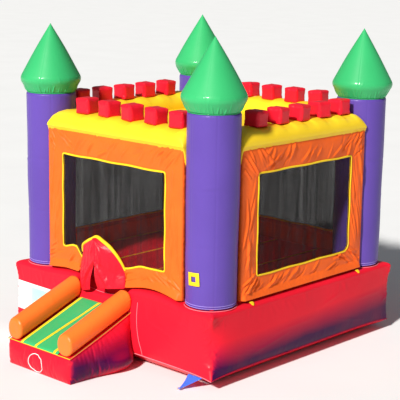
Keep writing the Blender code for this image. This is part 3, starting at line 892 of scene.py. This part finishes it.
def make_beam(side, seed):
    """A top beam: a plump roll that is drawn down where the battlements are sewn to it."""
    depths, heights = beam_section()
    half = BEAM_HALF
    spans = (half - 0.020) * np.sin(np.linspace(-math.pi / 2, math.pi / 2, 170))
    xs = np.concatenate([[-half - 0.001, -half, -half + 0.004, -half + 0.012], spans,
                         [half - 0.012, half - 0.004, half, half + 0.001]])
    inset = np.concatenate([[0.05, 0.012, 0.003, 0.0], np.zeros(170), [0.0, 0.003, 0.012, 0.05]])
    mid_depth, mid_height = WALL_PLANE - BEAM_MIDDLE, (BEAM_LOW + BEAM_TOP) / 2
    rows = []
    for x, shrink in zip(xs, inset):
        past = min(1.0, max(0.0, (abs(x) - (half - 0.24)) / 0.24))
        top = max(0.0, 1 - past ** 3) ** 0.5
        d = depths + np.clip(mid_depth - depths, -1, 1) * shrink / 0.26
        z = np.where(heights > SHOULDER, SHOULDER + (heights - SHOULDER) * top, heights)
        z = z + (mid_height - z) * shrink / 0.26
        rows.append(joined(x, -WALL_PLANE + d, z))
    points = np.array(rows)
    top = smooth_step(points[..., 2], WALL_SEAM + 0.03, BEAM_TOP - 0.02)
    places = battlement_places(side)
    tufts = sum(np.exp(-((points[..., 0] - place) / 0.125) ** 4) for place in places)
    points[..., 2] += top * (0.016 - 0.020 * np.minimum(1, tufts))
    rng = np.random.default_rng(90 + seed)
    strokes = []
    for place in places:
        for edge in (-0.13, 0.13):
            strokes += random_strokes(
                rng, 3, about(place + edge, 0.02), (0.08, 0.36), about(math.pi / 2, 0.5),
                (0.04, 0.08), (0.014, 0.022), (0.002, 0.006))
    for end in (-half, half):
        strokes += random_strokes(rng, 9, (end * 0.84, end * 0.97), (0.02, 0.5), (-0.7, 0.7),
                                  (0.05, 0.12), (0.014, 0.024), (0.003, 0.007))
    bumps = creases(points[..., 0], points[..., 1] + WALL_PLANE, strokes)
    bumps += slow_waves(points, 2.2, 0.012, 50 + seed)
    points[..., 2] += bumps * smooth_step(points[..., 2], WALL_SEAM + 0.01, WALL_SEAM + 0.09)
    chamber(f"beam_skin_{side}", turn_points(points, side), yellow_vinyl, "yellow_vinyl",
            "beam_" + side)


def battlement_bag():
    """One battlement: a small square bag blown up until its faces crown and its edges pucker."""
    low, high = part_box("battlement_front_1")
    size = (high - low) - Vector((0.008, 0.008, 0.004))
    bm = bmesh.new()
    bmesh.ops.create_cube(bm, size=1.0)
    bmesh.ops.scale(bm, vec=size, verts=bm.verts)
    bmesh.ops.subdivide_edges(bm, edges=bm.edges, cuts=17, use_grid_fill=True)
    mesh = bpy.data.meshes.new("battlement_bag")
    bm.to_mesh(mesh)
    bm.free()
    mesh.materials.append(red_vinyl)
    mesh.shade_smooth()
    bag = placed("battlement_bag", mesh)
    co = vertex_array(bag)
    noise.seed_set(7)
    jitter = np.array([noise.noise_vector(Vector(p) * 25) for p in co]) * 0.0016
    mesh.vertices.foreach_set("co", (co + jitter).astype(np.float32).ravel())
    foot = np.where(co[:, 2] < -size.z / 2 + 1e-4)[0]
    inflate(bag, pressure=6.0, cap=0.008, pinned=foot, stiffness=26.0, bending=0.15, shrink=-0.004)
    bpy.data.objects.remove(bag)
    return mesh


def make_battlements():
    """Twenty bags from one pattern, each set down a little askew."""
    pattern = battlement_bag()
    rng = np.random.default_rng(5)
    for side in SIDES:
        for number in range(1, 6):
            low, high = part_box(f"battlement_{side}_{number}")
            mesh = pattern.copy()
            quarter = Matrix.Rotation(math.pi / 2 * int(rng.integers(4)), 4, "Z")
            askew = Matrix.Rotation(math.radians(rng.uniform(-9, 9)), 4, "Z")
            lean = Matrix.Rotation(math.radians(rng.uniform(-3, 3)), 4, "X")
            tip = Matrix.Rotation(math.radians(rng.uniform(-3, 3)), 4, "Y")
            mesh.transform(Matrix.Translation((low + high) / 2) @ askew @ lean @ tip @ quarter)
            bag = placed(f"battlement_skin_{side}_{number}", mesh)
            subdivide(bag)
            attach(bag, "red_vinyl", f"battlement_{side}_{number}")


for number, side in enumerate(SIDES):
    make_beam(side, number)
make_battlements()


# ---------------------------------------------------------------- walls and windows

WALL_FACE = -WALL_PLANE + 0.004
WALL_POINTS, WALL_ROWS = 190, 34
NET_ROWS = 26
WINDOW_MIDDLE = (WINDOW_TOP + WINDOW_BOTTOM) / 2
DOOR_LEFT, DOOR_RIGHT = -0.60, 0.33


def rectangle(half, low, high):
    """The edge of an upright rectangle as (x, z) points, from its lower left corner rightward."""
    t = np.linspace(0, 1, WALL_POINTS, endpoint=False)
    across, up = 2 * half * t, (high - low) * t
    edges = ((-half + across, low), (half, low + up), (half - across, high), (-half, high - up))
    return np.concatenate([joined(x, z) for x, z in edges])


def front_window_dip(x):
    """How far the front window's lower edge is drawn up or down along the doorway side."""
    left = 0.052 * smooth_step(x, -1.0, -0.78) * (1 - smooth_step(x, -0.74, -0.55))
    down = 0.085 * smooth_step(x, -0.74, -0.56) * (1 - smooth_step(x, 0.28, 0.62))
    return left - down


def window_outline(side):
    """The window's edge, with rounded corners and a slow waver."""
    half, high = WINDOW_HALF - 0.012, WINDOW_TOP - 0.012
    low = WINDOW_BOTTOM - (0.0 if side == "front" else 0.046)
    points = rectangle(half, low, high)
    for sx, sz in ((-1, low), (1, low), (1, high), (-1, high)):
        round_off = 0.11 if side == "right" and sx == 1 and sz == low else 0.035
        upward = 1 if sz == low else -1
        centre = np.array([sx * (half - round_off), sz + upward * round_off])
        past = ((points[:, 0] * sx > centre[0] * sx)
                & ((centre[1] - points[:, 1]) * upward > 0))
        d = points[past] - centre
        longest = np.abs(d).max(axis=1, keepdims=True)
        reach = np.maximum(np.linalg.norm(d, axis=1, keepdims=True), 1e-9)
        points[past] = centre + d / reach * longest
    if side == "front":
        low_edge = points[:, 1] < low + 0.05
        points[:, 1] += np.where(low_edge, front_window_dip(points[:, 0]), 0.0)
    rng = np.random.default_rng(len(side))
    points[:, 1] += 0.004 * np.sin(points[:, 0] * 9 + rng.uniform(0, 6))
    points[:, 0] += 0.004 * np.sin(points[:, 1] * 11 + rng.uniform(0, 6))
    return points


def hem_line(side, x):
    """The height of a wall's hem along its foot."""
    if side != "front":
        return np.full_like(x, WALL_BOTTOM)
    left = 0.042 * smooth_step(x, -1.32, -0.85) * (1 - smooth_step(x, -0.60, -0.52))
    return WALL_BOTTOM + left + 0.07 * np.sin(math.pi * np.clip((x - 0.36) / 0.965, 0, 1)) ** 1.1


def wall_outline(side, inner):
    """The panel's edge, matched to the window's, and drawn away from the doorway on the front."""
    points = rectangle(WALL_HALF, WALL_BOTTOM, WALL_SEAM - 0.004)
    foot = points[:WALL_POINTS]
    foot[:, 1] = hem_line(side, foot[:, 0])
    if side == "front":
        x, z = points.T
        inside = (z < WALL_BOTTOM + 0.1) & (x > DOOR_LEFT) & (x < DOOR_RIGHT)
        points[inside, 1] = inner[inside, 1] - 0.004
    return points


def wall_strokes(side, seed):
    """The creases of one wall, by where on the panel they lie."""
    rng = np.random.default_rng(seed)
    busy, strength = (1.35, 1.2) if side in ("right", "left") else (1.0, 1.55)
    width = (0.014, 0.028)
    strokes = []

    def add(count, x_range, z_range, angle, turn, length, height):
        for _ in range(int(count * busy + 0.5)):
            strokes.append((
                rng.uniform(*x_range), rng.uniform(*z_range), angle + rng.uniform(-turn, turn),
                rng.uniform(*length), rng.uniform(*width),
                strength * rng.uniform(*height) * rng.choice([1, 1, -0.7])))

    for end in (-1, 1):
        add(8, sorted((end * 0.82, end * 1.30)), (2.80, 3.08), 0.85 * end, 0.35, (0.10, 0.20),
            (0.008, 0.018))
        add(8, sorted((end * 0.80, end * 1.30)), (1.14, 1.40), -0.50 * end, 0.35, (0.10, 0.20),
            (0.008, 0.018))
        add(9, sorted((end * 1.06, end * 1.29)), (1.5, 2.7), math.pi / 2 + 0.14 * end, 0.22,
            (0.14, 0.36), (0.007, 0.016))
    add(15, (-0.85, 0.85), (2.84, 3.07), 0.80, 0.40, (0.08, 0.17), (0.006, 0.015))
    add(15, (-0.85, 0.85), (1.17, 1.36), 0.62, 0.40, (0.08, 0.17), (0.006, 0.015))
    return strokes


def door_lean(x, z):
    """How far the front panel leans out next to the hood."""
    near = np.exp(-((x + 0.14) / 0.62) ** 4)
    return 0.035 * near * (1 - smooth_step(z, 1.40, 1.62))


def make_wall(side, seed):
    """A wall panel round its window, its two returns, its binding, its net and its skirt."""
    inner = window_outline(side)
    outer = wall_outline(side, inner)
    edge = np.linspace(0, 1, WALL_ROWS)[:, None]
    plan = inner + (outer - inner) * edge[..., None]
    x, z = plan[..., 0], plan[..., 1]
    bumps = creases(x, z, wall_strokes(side, seed))
    bumps *= smooth_step(edge, 0.0, 0.10) * (1 - smooth_step(edge, 0.90, 1.0))
    hem = np.clip(1 - (z - hem_line(side, x)) / 0.105, 0, 1)
    bumps *= 1 - 0.92 * smooth_step(hem, 0.0, 0.25)
    waves = slow_waves(joined(x, 0.0, z), 3.0, 0.016, seed)
    bumps += (waves + 0.014) * np.sin(math.pi * edge)
    bumps *= smooth_step(WALL_SEAM - z, 0.015, 0.11)
    y = WALL_FACE - bumps - 0.052 * hem * smooth_step(WALL_HALF - np.abs(x), 0.0, 0.05)
    if side == "front":
        y = y - door_lean(x, z)
    wall = cloth_piece(f"wall_skin_{side}", turn_points(joined(x, y, z), side), orange_fabric,
                       "orange_fabric", 0.004, "wall_" + side, wrap=True)
    make_returns(side, seed)
    binding = joined(inner[:, 0], y[0], inner[:, 1])
    make_binding(side, "outer", binding, -0.005, 1.0)
    make_binding(side, "inner", binding, 0.012, -1.0)
    make_net(side, seed, inner, y[0])
    make_skirt(side, seed)


def make_skirt(side, seed):
    """The inner strip that closes the wall's foot down to the mattress."""
    top = 1.30
    spans = ((-1.30, DOOR_LEFT), (0.34, 1.30)) if side == "front" else ((-1.30, 1.30),)
    for number, (left, right) in enumerate(spans):
        x, z = np.meshgrid(np.linspace(left, right, 60), np.linspace(BASE_TOP + 0.002, top, 12))
        y = -WALL_PLANE + 0.055 + 0.006 * np.sin(x * 9 + seed) * np.sin(z * 14)
        points = turn_points(joined(x, y, z), side)
        skirt = cloth_piece(f"wall_skirt_{side}_{number + 1}", points, orange_fabric,
                            "orange_fabric", 0.003)


def make_returns(side, seed):
    """The short returns that close a wall to the columns on both sides."""
    deep = 0.075
    rng = np.random.default_rng(200 + seed)
    for end, name in ((-1, "left"), (1, "right")):
        d, z = np.meshgrid(np.linspace(0, deep, 7), np.linspace(WALL_BOTTOM, WALL_TOP, 110))
        strokes = random_strokes(rng, 34, (0.0, 0.08), (1.1, 3.05), (-0.7, 0.7), 0.05,
                                 (0.012, 0.022), (0.002, 0.005))
        bow = 0.010 * np.sin(math.pi * d / deep)
        x = end * (WALL_HALF - 0.14 * d + bow + creases(d, z, strokes))
        points = turn_points(joined(x, WALL_FACE + d, z), side)
        piece = cloth_piece(f"wall_return_{side}_{name}", points, orange_fabric,
                            "orange_fabric", 0.004)


def make_binding(side, face, path, shift, sign):
    """The folded tape that binds the net to its window, flat and under three centimetres wide."""
    away = path - (0.0, 0.0, WINDOW_MIDDLE)
    upright = np.abs(away[:, 0]) > WINDOW_HALF - 0.06
    level = np.abs(away[:, 2]) > (WINDOW_TOP - WINDOW_BOTTOM) / 2 - 0.16
    outward = joined(np.sign(away[:, 0]) * upright, 0.0, np.sign(away[:, 2]) * level)
    outward /= np.maximum(np.linalg.norm(outward, axis=1, keepdims=True), 1e-9)
    rows = []
    for offset, lift in ((-0.013, 0.001), (-0.011, 0.005), (-0.004, 0.0075), (0.004, 0.0075),
                         (0.011, 0.005), (0.013, 0.001)):
        row = path + outward * offset
        row[:, 1] += shift - sign * lift
        rows.append(row)
    cloth_piece(f"window_binding_{side}_{face}", turn_points(np.array(rows), side),
                yellow_binding, "yellow_vinyl", 0.002, wrap=True)


def net_depth(x, z, seed):
    """How far the loose net hangs behind its frame, with upright folds."""
    folds = 0.014 * np.sin(x * 11 + 2.0 * np.sin(x * 3.3 + seed) + 0.35 * z)
    folds = folds + 0.007 * np.sin(x * 23 + seed * 2 + 0.8 * z)
    upright = np.minimum(z - WINDOW_BOTTOM, WINDOW_TOP - z)
    return folds * np.clip(np.minimum(WINDOW_HALF - np.abs(x), upright) / 0.12, 0, 1)


def make_net(side, seed, outline, depth):
    """The window's net, loose in its frame."""
    middle = np.array([0.0, WINDOW_MIDDLE])
    share = np.linspace(0, 1, NET_ROWS)[:, None]
    plan = middle + (outline - middle) * share[..., None]
    x, z = plan[..., 0], plan[..., 1]
    y = -WALL_PLANE + 0.010 + net_depth(x, z, seed) + (depth - WALL_FACE) * share ** 4
    threads = black_net if side in ("front", "right") else double_net
    net = grid_object(f"net_{side}", turn_points(joined(x, y, z), side), threads, wrap=True)
    weld(net)
    attach(net, "black_netting", "window_mesh_" + side)


for number, side in enumerate(SIDES):
    make_wall(side, 300 + number)


# ---------------------------------------------------------------- doorway

HOOD = [(-0.575, -1.905, 1.415), (-0.562, -1.92, 1.485), (-0.400, -1.98, 1.600),
        (-0.27, -2.01, 1.660), (-0.140, -2.03, 1.712), (-0.02, -2.03, 1.672),
        (0.083, -2.02, 1.622), (0.193, -1.99, 1.520), (0.267, -1.94, 1.385),
        (0.290, -1.91, 1.300)]
HOOD_POINTS, HOOD_APEX = 61, 24
LEFT_EDGE = [(-0.572, -1.94, 1.28), (-0.568, -1.965, 1.134), (-0.545, -1.985, 1.0),
             (-0.505, -1.995, 0.885)]
RIGHT_EDGE = [(0.312, -1.925, 1.20), (0.330, -1.945, 1.12), (0.335, -1.96, 1.060)]
LEFT_SLIT = [(-0.149, -2.03, 1.69), (-0.150, -2.05, 1.53), (-0.160, -2.06, 1.39),
             (-0.215, -2.06, 1.22), (-0.262, -2.05, 1.08), (-0.290, -2.03, 0.93)]
RIGHT_SLIT = [(-0.149, -2.03, 1.69), (-0.142, -2.06, 1.53), (-0.140, -2.085, 1.36),
              (-0.135, -2.095, 1.20), (-0.120, -2.085, 1.09), (-0.100, -2.07, 1.01)]
CURTAIN_STEPS, CURTAIN_ROWS = 44, 26


def curtain_surface(outer, inner, bulge, seed):
    """A curtain between its sewn edge and its free edge, blown out between them."""
    outer, inner = smooth_path(outer, CURTAIN_STEPS), smooth_path(inner, CURTAIN_STEPS)
    t = np.linspace(0, 1, CURTAIN_ROWS)[:, None]
    points = outer + (inner - outer) * t[..., None]
    points[..., 1] -= bulge * np.maximum(0, np.sin(math.pi * t)) ** 0.8
    along = np.linspace(0, 1, CURTAIN_STEPS)[None, :] * 0.75
    across = t * 0.4
    rng = np.random.default_rng(seed)
    strokes = random_strokes(rng, 22, (0.0, 0.7), (0.05, 0.35), (-0.5, 0.5), (0.06, 0.16),
                             (0.014, 0.026), (0.004, 0.012))
    strokes.append((0.50, 0.30, -0.42, 0.30, 0.030, 0.030))
    points[..., 1] -= creases(along, across, strokes) * smooth_step(across, 0.0, 0.05)
    return points


def make_door():
    """The hood's piping and the two curtains, sewn along the arch and free along the slit."""
    hood = smooth_path(HOOD, HOOD_POINTS)
    taper = 0.55 + 0.62 * np.sin(math.pi * np.linspace(0.04, 0.96, HOOD_POINTS)) ** 0.8
    tube = welts("door_hood_piping", [hood], 0.024, yellow_binding, "yellow_vinyl", taper=taper)
    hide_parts("door_hood")
    left_outer = list(hood[:HOOD_APEX + 1][::-1]) + LEFT_EDGE
    right_outer = list(hood[HOOD_APEX:]) + RIGHT_EDGE
    for name, outer, slit, bulge, sewn, free, seed in (
        ("left", left_outer, LEFT_SLIT, 0.035, (-0.50, -1.98, 1.58), (-0.26, -2.05, 1.08), 3),
        ("right", right_outer, RIGHT_SLIT, 0.060, (0.22, -1.97, 1.58), (-0.08, -2.07, 1.08), 4),
    ):
        points = curtain_surface(outer, slit, bulge, seed)
        curtain = grid_object(f"curtain_{name}", points, red_fabric)
        thicken(curtain, 0.004)
        subdivide(curtain)
        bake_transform(curtain)
        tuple(sewn)
        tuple(free)
        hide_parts("door_flap_" + name)


make_door()


# ---------------------------------------------------------------- ramp

def make_ramp():
    """The ramp's wedge as a bag: crowned sides below a flat top."""
    low, back = -RAMP_FRONT, -RAMP_BACK
    outline = [(low + 0.002, 0.0), (low + 0.004, RAMP_FRONT_TOP - 0.006),
               (back, RAMP_BACK_TOP - 0.010), (back, 0.13), (back - 0.09, 0.0)]
    count = len(outline)
    half = RAMP_HALF - 0.008
    vertices = [(RAMP_CENTRE + x, y, z) for x in (-half, half) for y, z in outline]
    faces = [[i, (i + 1) % count, (i + 1) % count + count, i + count] for i in range(count)]
    faces += [list(range(count))[::-1], list(range(count, 2 * count))]
    # The ramp's skin takes the same red with its painted shade low on its sides.
    ramp = new_object("ramp_skin", vertices, faces, painted_shade_vinyl)
    weld(ramp)
    voxel_skin(ramp, 0.022)
    co = vertex_array(ramp)
    roof = RAMP_FRONT_TOP + (co[:, 1] + RAMP_FRONT) * math.tan(RAMP_SLOPE)
    held = np.where((co[:, 2] < 0.02) | (co[:, 1] > back - 0.03) | (co[:, 2] > roof - 0.022))[0]
    inflate(ramp, pressure=20.0, cap=0.075, pinned=held, stiffness=12.0, bending=0.4,
            shrink=-0.05, frames=24)
    co = vertex_array(ramp)
    side = (co[:, 0] - RAMP_CENTRE) / half
    slump = 0.115 * np.exp(-((co[:, 1] - back + 0.30) / 0.34) ** 2
                           - ((co[:, 2] - 0.12) / 0.17) ** 2)
    co[:, 0] += slump * np.sign(side) * smooth_step(np.abs(side), 0.3, 1.0)
    move_vertices(ramp, co)
    lie_on = front_caster(ramp)
    circle = [lie_on(-0.165 + 0.140 * math.cos(a), 0.152 + 0.128 * math.sin(a), 0.002)
              for a in np.linspace(0, TURN, 48, endpoint=False)]
    welts("ramp_front_ring", [circle], 0.0060, white_panel, "yellow_vinyl", closed=True)
    subdivide(ramp)
    attach(ramp, "red_vinyl", "ramp_body")


def ramp_top(x, along, lift):
    """A point on the ramp's slope, along metres up from its front edge, lift above it."""
    c, s = math.cos(RAMP_SLOPE), math.sin(RAMP_SLOPE)
    return joined(x, -RAMP_FRONT + along * c - lift * s, RAMP_FRONT_TOP + along * s + lift * c)


def make_bed():
    """The green climbing bed with sewn yellow stripes."""
    length = SLOPE_LENGTH - 0.004
    half, stripe_half, columns = 0.385, 0.023, 60
    x, along = np.meshgrid(np.linspace(-half, half, columns + 1), np.linspace(0.0, length, 60))
    swell = 0.010 + 0.010 * np.abs(np.sin((x + half) / (2 * half) * TURN)) ** 0.6
    rng = np.random.default_rng(8)
    strokes = random_strokes(rng, 40, (-half, half), (0.0, length), (-0.4, 0.4), (0.04, 0.10),
                             (0.012, 0.02), (0.001, 0.003))
    ends = np.minimum(1, np.minimum(along, length - along) / 0.03)
    lift = (swell + creases(x, along, strokes)) * ends
    bed = cloth_piece("bed_skin", ramp_top(RAMP_CENTRE + x, along, lift + 0.002), green_vinyl,
                      "green_vinyl", 0.006, "ramp_bed", smooth=True)
    for number, (start, end) in enumerate(((-0.350, -0.345), (-0.070, 0.030), (0.310, 0.330))):
        a = np.linspace(0.004, length - 0.004, 60)
        across, up = np.meshgrid(np.linspace(-stripe_half, stripe_half, 5), a)
        middle = (start + (end - start) * a / length)[:, None]
        column = np.round((middle + half) / (2 * half) * columns).astype(int)
        below = np.take_along_axis(lift, np.clip(column, 0, columns), axis=1)
        points = ramp_top(RAMP_CENTRE + middle + across, up,
                          below + 0.009 - (across / stripe_half) ** 4 * 0.004)
        cloth_piece(f"bed_stripe_{number + 1}", points, yellow_binding, "yellow_vinyl", 0.003,
                    smooth=True)


def make_bolster(name, seed):
    """A round bolster with upright ends, puckered where the end discs are sewn in."""
    low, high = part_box(name)
    r = (high.x - low.x) / 2 - 0.002
    length = SLOPE_LENGTH - 0.006
    profile = [(0.001, 0.010), (0.3 * r, 0.004), (0.6 * r, 0.002), (0.82 * r, 0.004),
               (0.93 * r, 0.010), (0.975 * r, 0.024)]
    profile += [(r * (1.0 + 0.02 * math.sin(math.pi * t)), 0.03 + (length - 0.06) * t)
                for t in np.linspace(0, 1, 110)]
    profile += [(0.975 * r, length - 0.024), (0.93 * r, length - 0.010), (0.82 * r, length - 0.004),
                (0.6 * r, length - 0.002), (0.3 * r, length - 0.004), (0.001, length - 0.008)]
    angles, radii, along = around_axis(profile, 120)
    rng = np.random.default_rng(seed)
    strokes = []
    for place in (0.05, length - 0.05):
        for gather in range(24):
            spot = about(gather / 24 * TURN * r, 0.3 / 24 * TURN * r)
            strokes += random_strokes(rng, 1, spot, place, math.pi / 2, (0.02, 0.05),
                                      (0.007, 0.012), (0.001, 0.0035))
    strokes += random_strokes(rng, 22, (0.0, TURN * r), (0.1, length - 0.1), (-0.6, 0.6),
                              (0.03, 0.09), (0.010, 0.018), (0.0008, 0.0022))
    share = np.clip(radii / r, 0, 1) ** 2
    radius = radii + creases(angles[None, :] * r, along, strokes) * share
    c, s = np.cos(angles), np.sin(angles)
    x = radius * np.sign(c) * np.abs(c) ** 0.86
    z = radius * np.sign(s) * np.abs(s) ** 0.86 + r + 0.004
    z = np.maximum(z, 0.003 + 0.02 * r)
    points = ramp_top((low.x + high.x) / 2 + x, along + z * math.tan(RAMP_SLOPE), z)
    chamber(name.replace("ramp_", "") + "_skin", points, orange_vinyl, "orange_vinyl", name)


def make_ramp_piping():
    """The piping round the ramp's upper edges."""
    a = np.linspace(0.0, SLOPE_LENGTH - 0.01, 30)
    half = RAMP_HALF - 0.004
    bowed = half + 0.010 * np.sin(math.pi * a / SLOPE_LENGTH)
    edges = [ramp_top(RAMP_CENTRE + end * bowed, a, 0.003) for end in (-1, 1)]
    front = [(RAMP_CENTRE + x, -RAMP_FRONT - 0.001, RAMP_FRONT_TOP + 0.003)
             for x in np.linspace(-half, half, 30)]
    welts("ramp_edge_piping", edges, 0.0050, olive_welt, "yellow_vinyl")
    welts("ramp_front_piping", [front], 0.0048, yellow_binding, "yellow_vinyl")


make_ramp()
make_bed()
make_bolster("ramp_bolster_left", 31)
make_bolster("ramp_bolster_right", 32)
make_ramp_piping()


# ---------------------------------------------------------------- inside

def make_bounce_floor():
    """The bounce floor, a quilt of long channels between sewn lines."""
    low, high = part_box("bounce_floor")
    half = high.x
    seams = (-1.80, -0.95, -0.10, 0.75, 1.60)
    x, y = np.meshgrid(np.linspace(-half, half, 121), np.linspace(-half, half, 61))
    grooves = 0.012 * sum(np.exp(-((x - seam) / 0.05) ** 2) for seam in seams)
    points = joined(x, y, high.z - grooves)
    points[..., 2] += slow_waves(points, 1.5, 0.006, 77)
    floor = cloth_piece("floor_skin", points, red_vinyl, "red_vinyl", 0.006, "bounce_floor",
                        offset=-1.0)
    lines = [[(seam, y, high.z - 0.005) for y in np.linspace(-half + 0.01, half - 0.01, 12)]
             for seam in seams]
    welts("floor_seams", lines, 0.008, yellow_binding, "yellow_vinyl")


def make_roof():
    """The roof sheet, slack between the beams."""
    low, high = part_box("roof_sheet")
    half = high.x - 0.004
    values = np.linspace(-half, half, 61)
    x, y = np.meshgrid(values, values)
    sag = 0.030 * (1 - (x / half) ** 2) * (1 - (y / half) ** 2)
    points = joined(x, y, high.z - sag)
    points[..., 2] += slow_waves(points, 2.4, 0.016, 88)
    rng = np.random.default_rng(12)
    strokes = random_strokes(rng, 60, (-1.3, 1.3), (-1.3, 1.3), (0.0, math.pi), (0.1, 0.3),
                             (0.02, 0.04), (0.002, 0.007))
    points[..., 2] += creases(x, y, strokes)
    roof = cloth_piece("roof_skin", points, yellow_vinyl, "yellow_vinyl", 0.004, "roof_sheet",
                       smooth=True)


make_bounce_floor()
make_roof()


# ---------------------------------------------------------------- small sewn pieces

def make_anchor_tab(corner):
    """A webbing tab, wide at the seam and gathered into a sleeve for its ring."""
    name = "anchor_tab_" + corner
    low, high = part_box(name)
    sign = 1 if high.y < 0 else -1
    root_y, tip_y = (high.y, low.y) if sign == 1 else (low.y, high.y)
    x_mid, half_wide = (low.x + high.x) / 2, (high.x - low.x) / 2
    root_z, ring_z, sleeve_half, sleeve_radius = high.z + 0.055, 0.026, 0.0175, 0.011
    axis_y = tip_y + sign * sleeve_radius
    u = np.linspace(-1, 1, 15)
    rows = []
    for t in np.linspace(0, 1, 22):
        half = half_wide * (1 - t) ** 1.3 + sleeve_half * t
        y = root_y + (axis_y - root_y) * t
        z = root_z + (ring_z - root_z) * t - 0.015 * math.sin(math.pi * t)
        ripple = 0.0060 * np.sin(u * 8 + 1.3) * math.sin(math.pi * (0.15 + 0.85 * t))
        drawn = 0.070 * (1 - t) ** 1.5
        rows.append(joined(x_mid + drawn + half * u, y, z + ripple))
    for angle in TURN * np.arange(1, 14) / 14:
        y = axis_y - sign * sleeve_radius * math.sin(angle / 2) * 1.9
        z = ring_z + 0.0085 * math.sin(angle)
        rows.append(joined(x_mid + sleeve_half * u, y, z))
    tab = cloth_piece(f"tab_skin_{corner}", np.array(rows), blue_webbing, "blue_webbing", 0.0024,
                      name)


for corner in CORNERS:
    make_anchor_tab(corner)
    ring_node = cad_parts["anchor_ring_" + corner]
    ring_node.data.materials[0] = steel
    subdivide(ring_node)


def make_sleeve(name, tied, seed):
    """A cloth air sleeve at the rear, open or gathered and tied."""
    low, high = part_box(name)
    r = (high.x - low.x) / 2
    cx, cz = (low.x + high.x) / 2, (low.z + high.z) / 2
    length = high.y - low.y
    if tied:
        shares = ((0.98, 0.0), (1.0, 0.04), (0.97, 0.09), (0.80, 0.15), (0.45, 0.20),
                  (0.27, 0.222), (0.27, 0.235), (0.40, 0.26), (0.58, 0.29), (0.66, 0.322),
                  (0.60, 0.318), (0.34, 0.27), (0.10, 0.25))
    else:
        shares = [(0.985, 0.0), (1.0, 0.03)]
        shares += [(0.99 - 0.03 * t, 0.03 + (length - 0.04) * t) for t in np.linspace(0.05, 1, 26)]
    angles, radii, along = around_axis([(r * share, place) for share, place in shares], 96)
    rng = np.random.default_rng(seed)
    strokes = random_strokes(rng, 40, (0.0, TURN * r), (0.02, length), (0.8, 2.3), (0.05, 0.12),
                             (0.012, 0.022), (0.002, 0.006))
    radius = radii + creases(angles[None, :] * r, along, strokes) * np.clip(radii / r, 0, 1)
    if tied:
        gather = (0.010 * np.exp(-((along - 0.24) / 0.07) ** 2)
                  + 0.008 * smooth_step(along, 0.25, 0.32))
        radius = radius + gather * np.sin(angles * 13 + 1.5 * np.sin(angles * 3))
    points = joined(cx + radius * np.cos(angles), low.y + along, cz + radius * np.sin(angles))
    sleeve = cloth_piece(name + "_skin", points, red_fabric, "red_fabric", 0.004, name,
                         wrap=True, smooth=True)
    return sleeve, r, length, (cx, cz, low.y)


open_sleeve, r, length, place = make_sleeve("inflation_sleeve", False, 61)
tied_sleeve, r, length, place = make_sleeve("deflation_sleeve", True, 62)


def make_sleeve_tie(r, cx, cz, rear):
    """Two turns of tape round the tied sleeve's neck."""
    turns = [[(cx + r * 0.30 * math.cos(a), rear + along, cz + r * 0.30 * math.sin(a))
              for a in np.linspace(0, TURN, 40, endpoint=False)] for along in (0.226, 0.233)]
    welts("sleeve_tie", turns, 0.0045, blue_webbing, "blue_webbing", closed=True)


make_sleeve_tie(r, *place)


def make_patch():
    """The square yellow patch ring on the near column, laid on its round surface."""
    centre = corner_centre("front_right")
    middle_angle, middle_height, askew = math.radians(-88.5), 1.445, 0.07
    outline = []
    for k in range(48):
        t = (k % 12) / 12 * 2 - 1
        u, v = ((t, -1), (1, t), (-t, 1), (-1, -t))[k // 12]
        outline.append((u - askew * v, v + askew * u))
    rows = []
    for scale, lift in ((0.036, 0.001), (0.038, 0.004), (0.062, 0.006), (0.086, 0.004),
                        (0.088, 0.001)):
        row = []
        for u, v in outline:
            angle = middle_angle + u * scale * 1.05 / COLUMN_RADIUS
            radius = COLUMN_RADIUS + 0.003 + lift
            row.append((centre[0] + radius * math.cos(angle), centre[1] + radius * math.sin(angle),
                        middle_height + v * scale))
        rows.append(row)
    cloth_piece("column_patch", np.array(rows), yellow_binding, "yellow_vinyl", 0.002, wrap=True)


def make_panel():
    """A blank sewn panel on the base's front, with a plain pale field on its right part."""
    for name, x_range, z_range, lift, material in (
        ("front_panel", (-1.945, -1.02), (0.315, 0.745), 0.005, white_panel),
        ("front_panel_field", (-1.60, -1.06), (0.350, 0.690), 0.008, mint_panel),
    ):
        points = [[lie_on_base(x, z, lift) for x in np.linspace(*x_range, 60)]
                  for z in np.linspace(*z_range, 30)]
        cloth_piece(name, np.array(points), material, "red_vinyl", 0.0015)


def make_tie_tabs():
    """The small yellow tongues that tie the hems of the right, rear and left walls to the base."""
    u = np.linspace(-1, 1, 9)
    for side in ("right", "rear", "left"):
        for number, x in enumerate((-1.17, 1.19)):
            rows = []
            for t in np.linspace(0, 1, 10):
                half = 0.036 * math.sqrt(max(0.0, 1 - t ** 2.2)) + 0.002
                y = -WALL_PLANE - 0.045 - 0.050 * t
                z = WALL_BOTTOM - 0.026 - 0.042 * t ** 1.6 + 0.003 * (1 - u ** 2)
                rows.append(joined(x + half * u, y, z))
            cloth_piece(f"tie_tab_{side}_{number + 1}", turn_points(np.array(rows), side),
                        yellow_binding, "yellow_vinyl", 0.003, smooth=True)


make_patch()
make_panel()
make_tie_tabs()
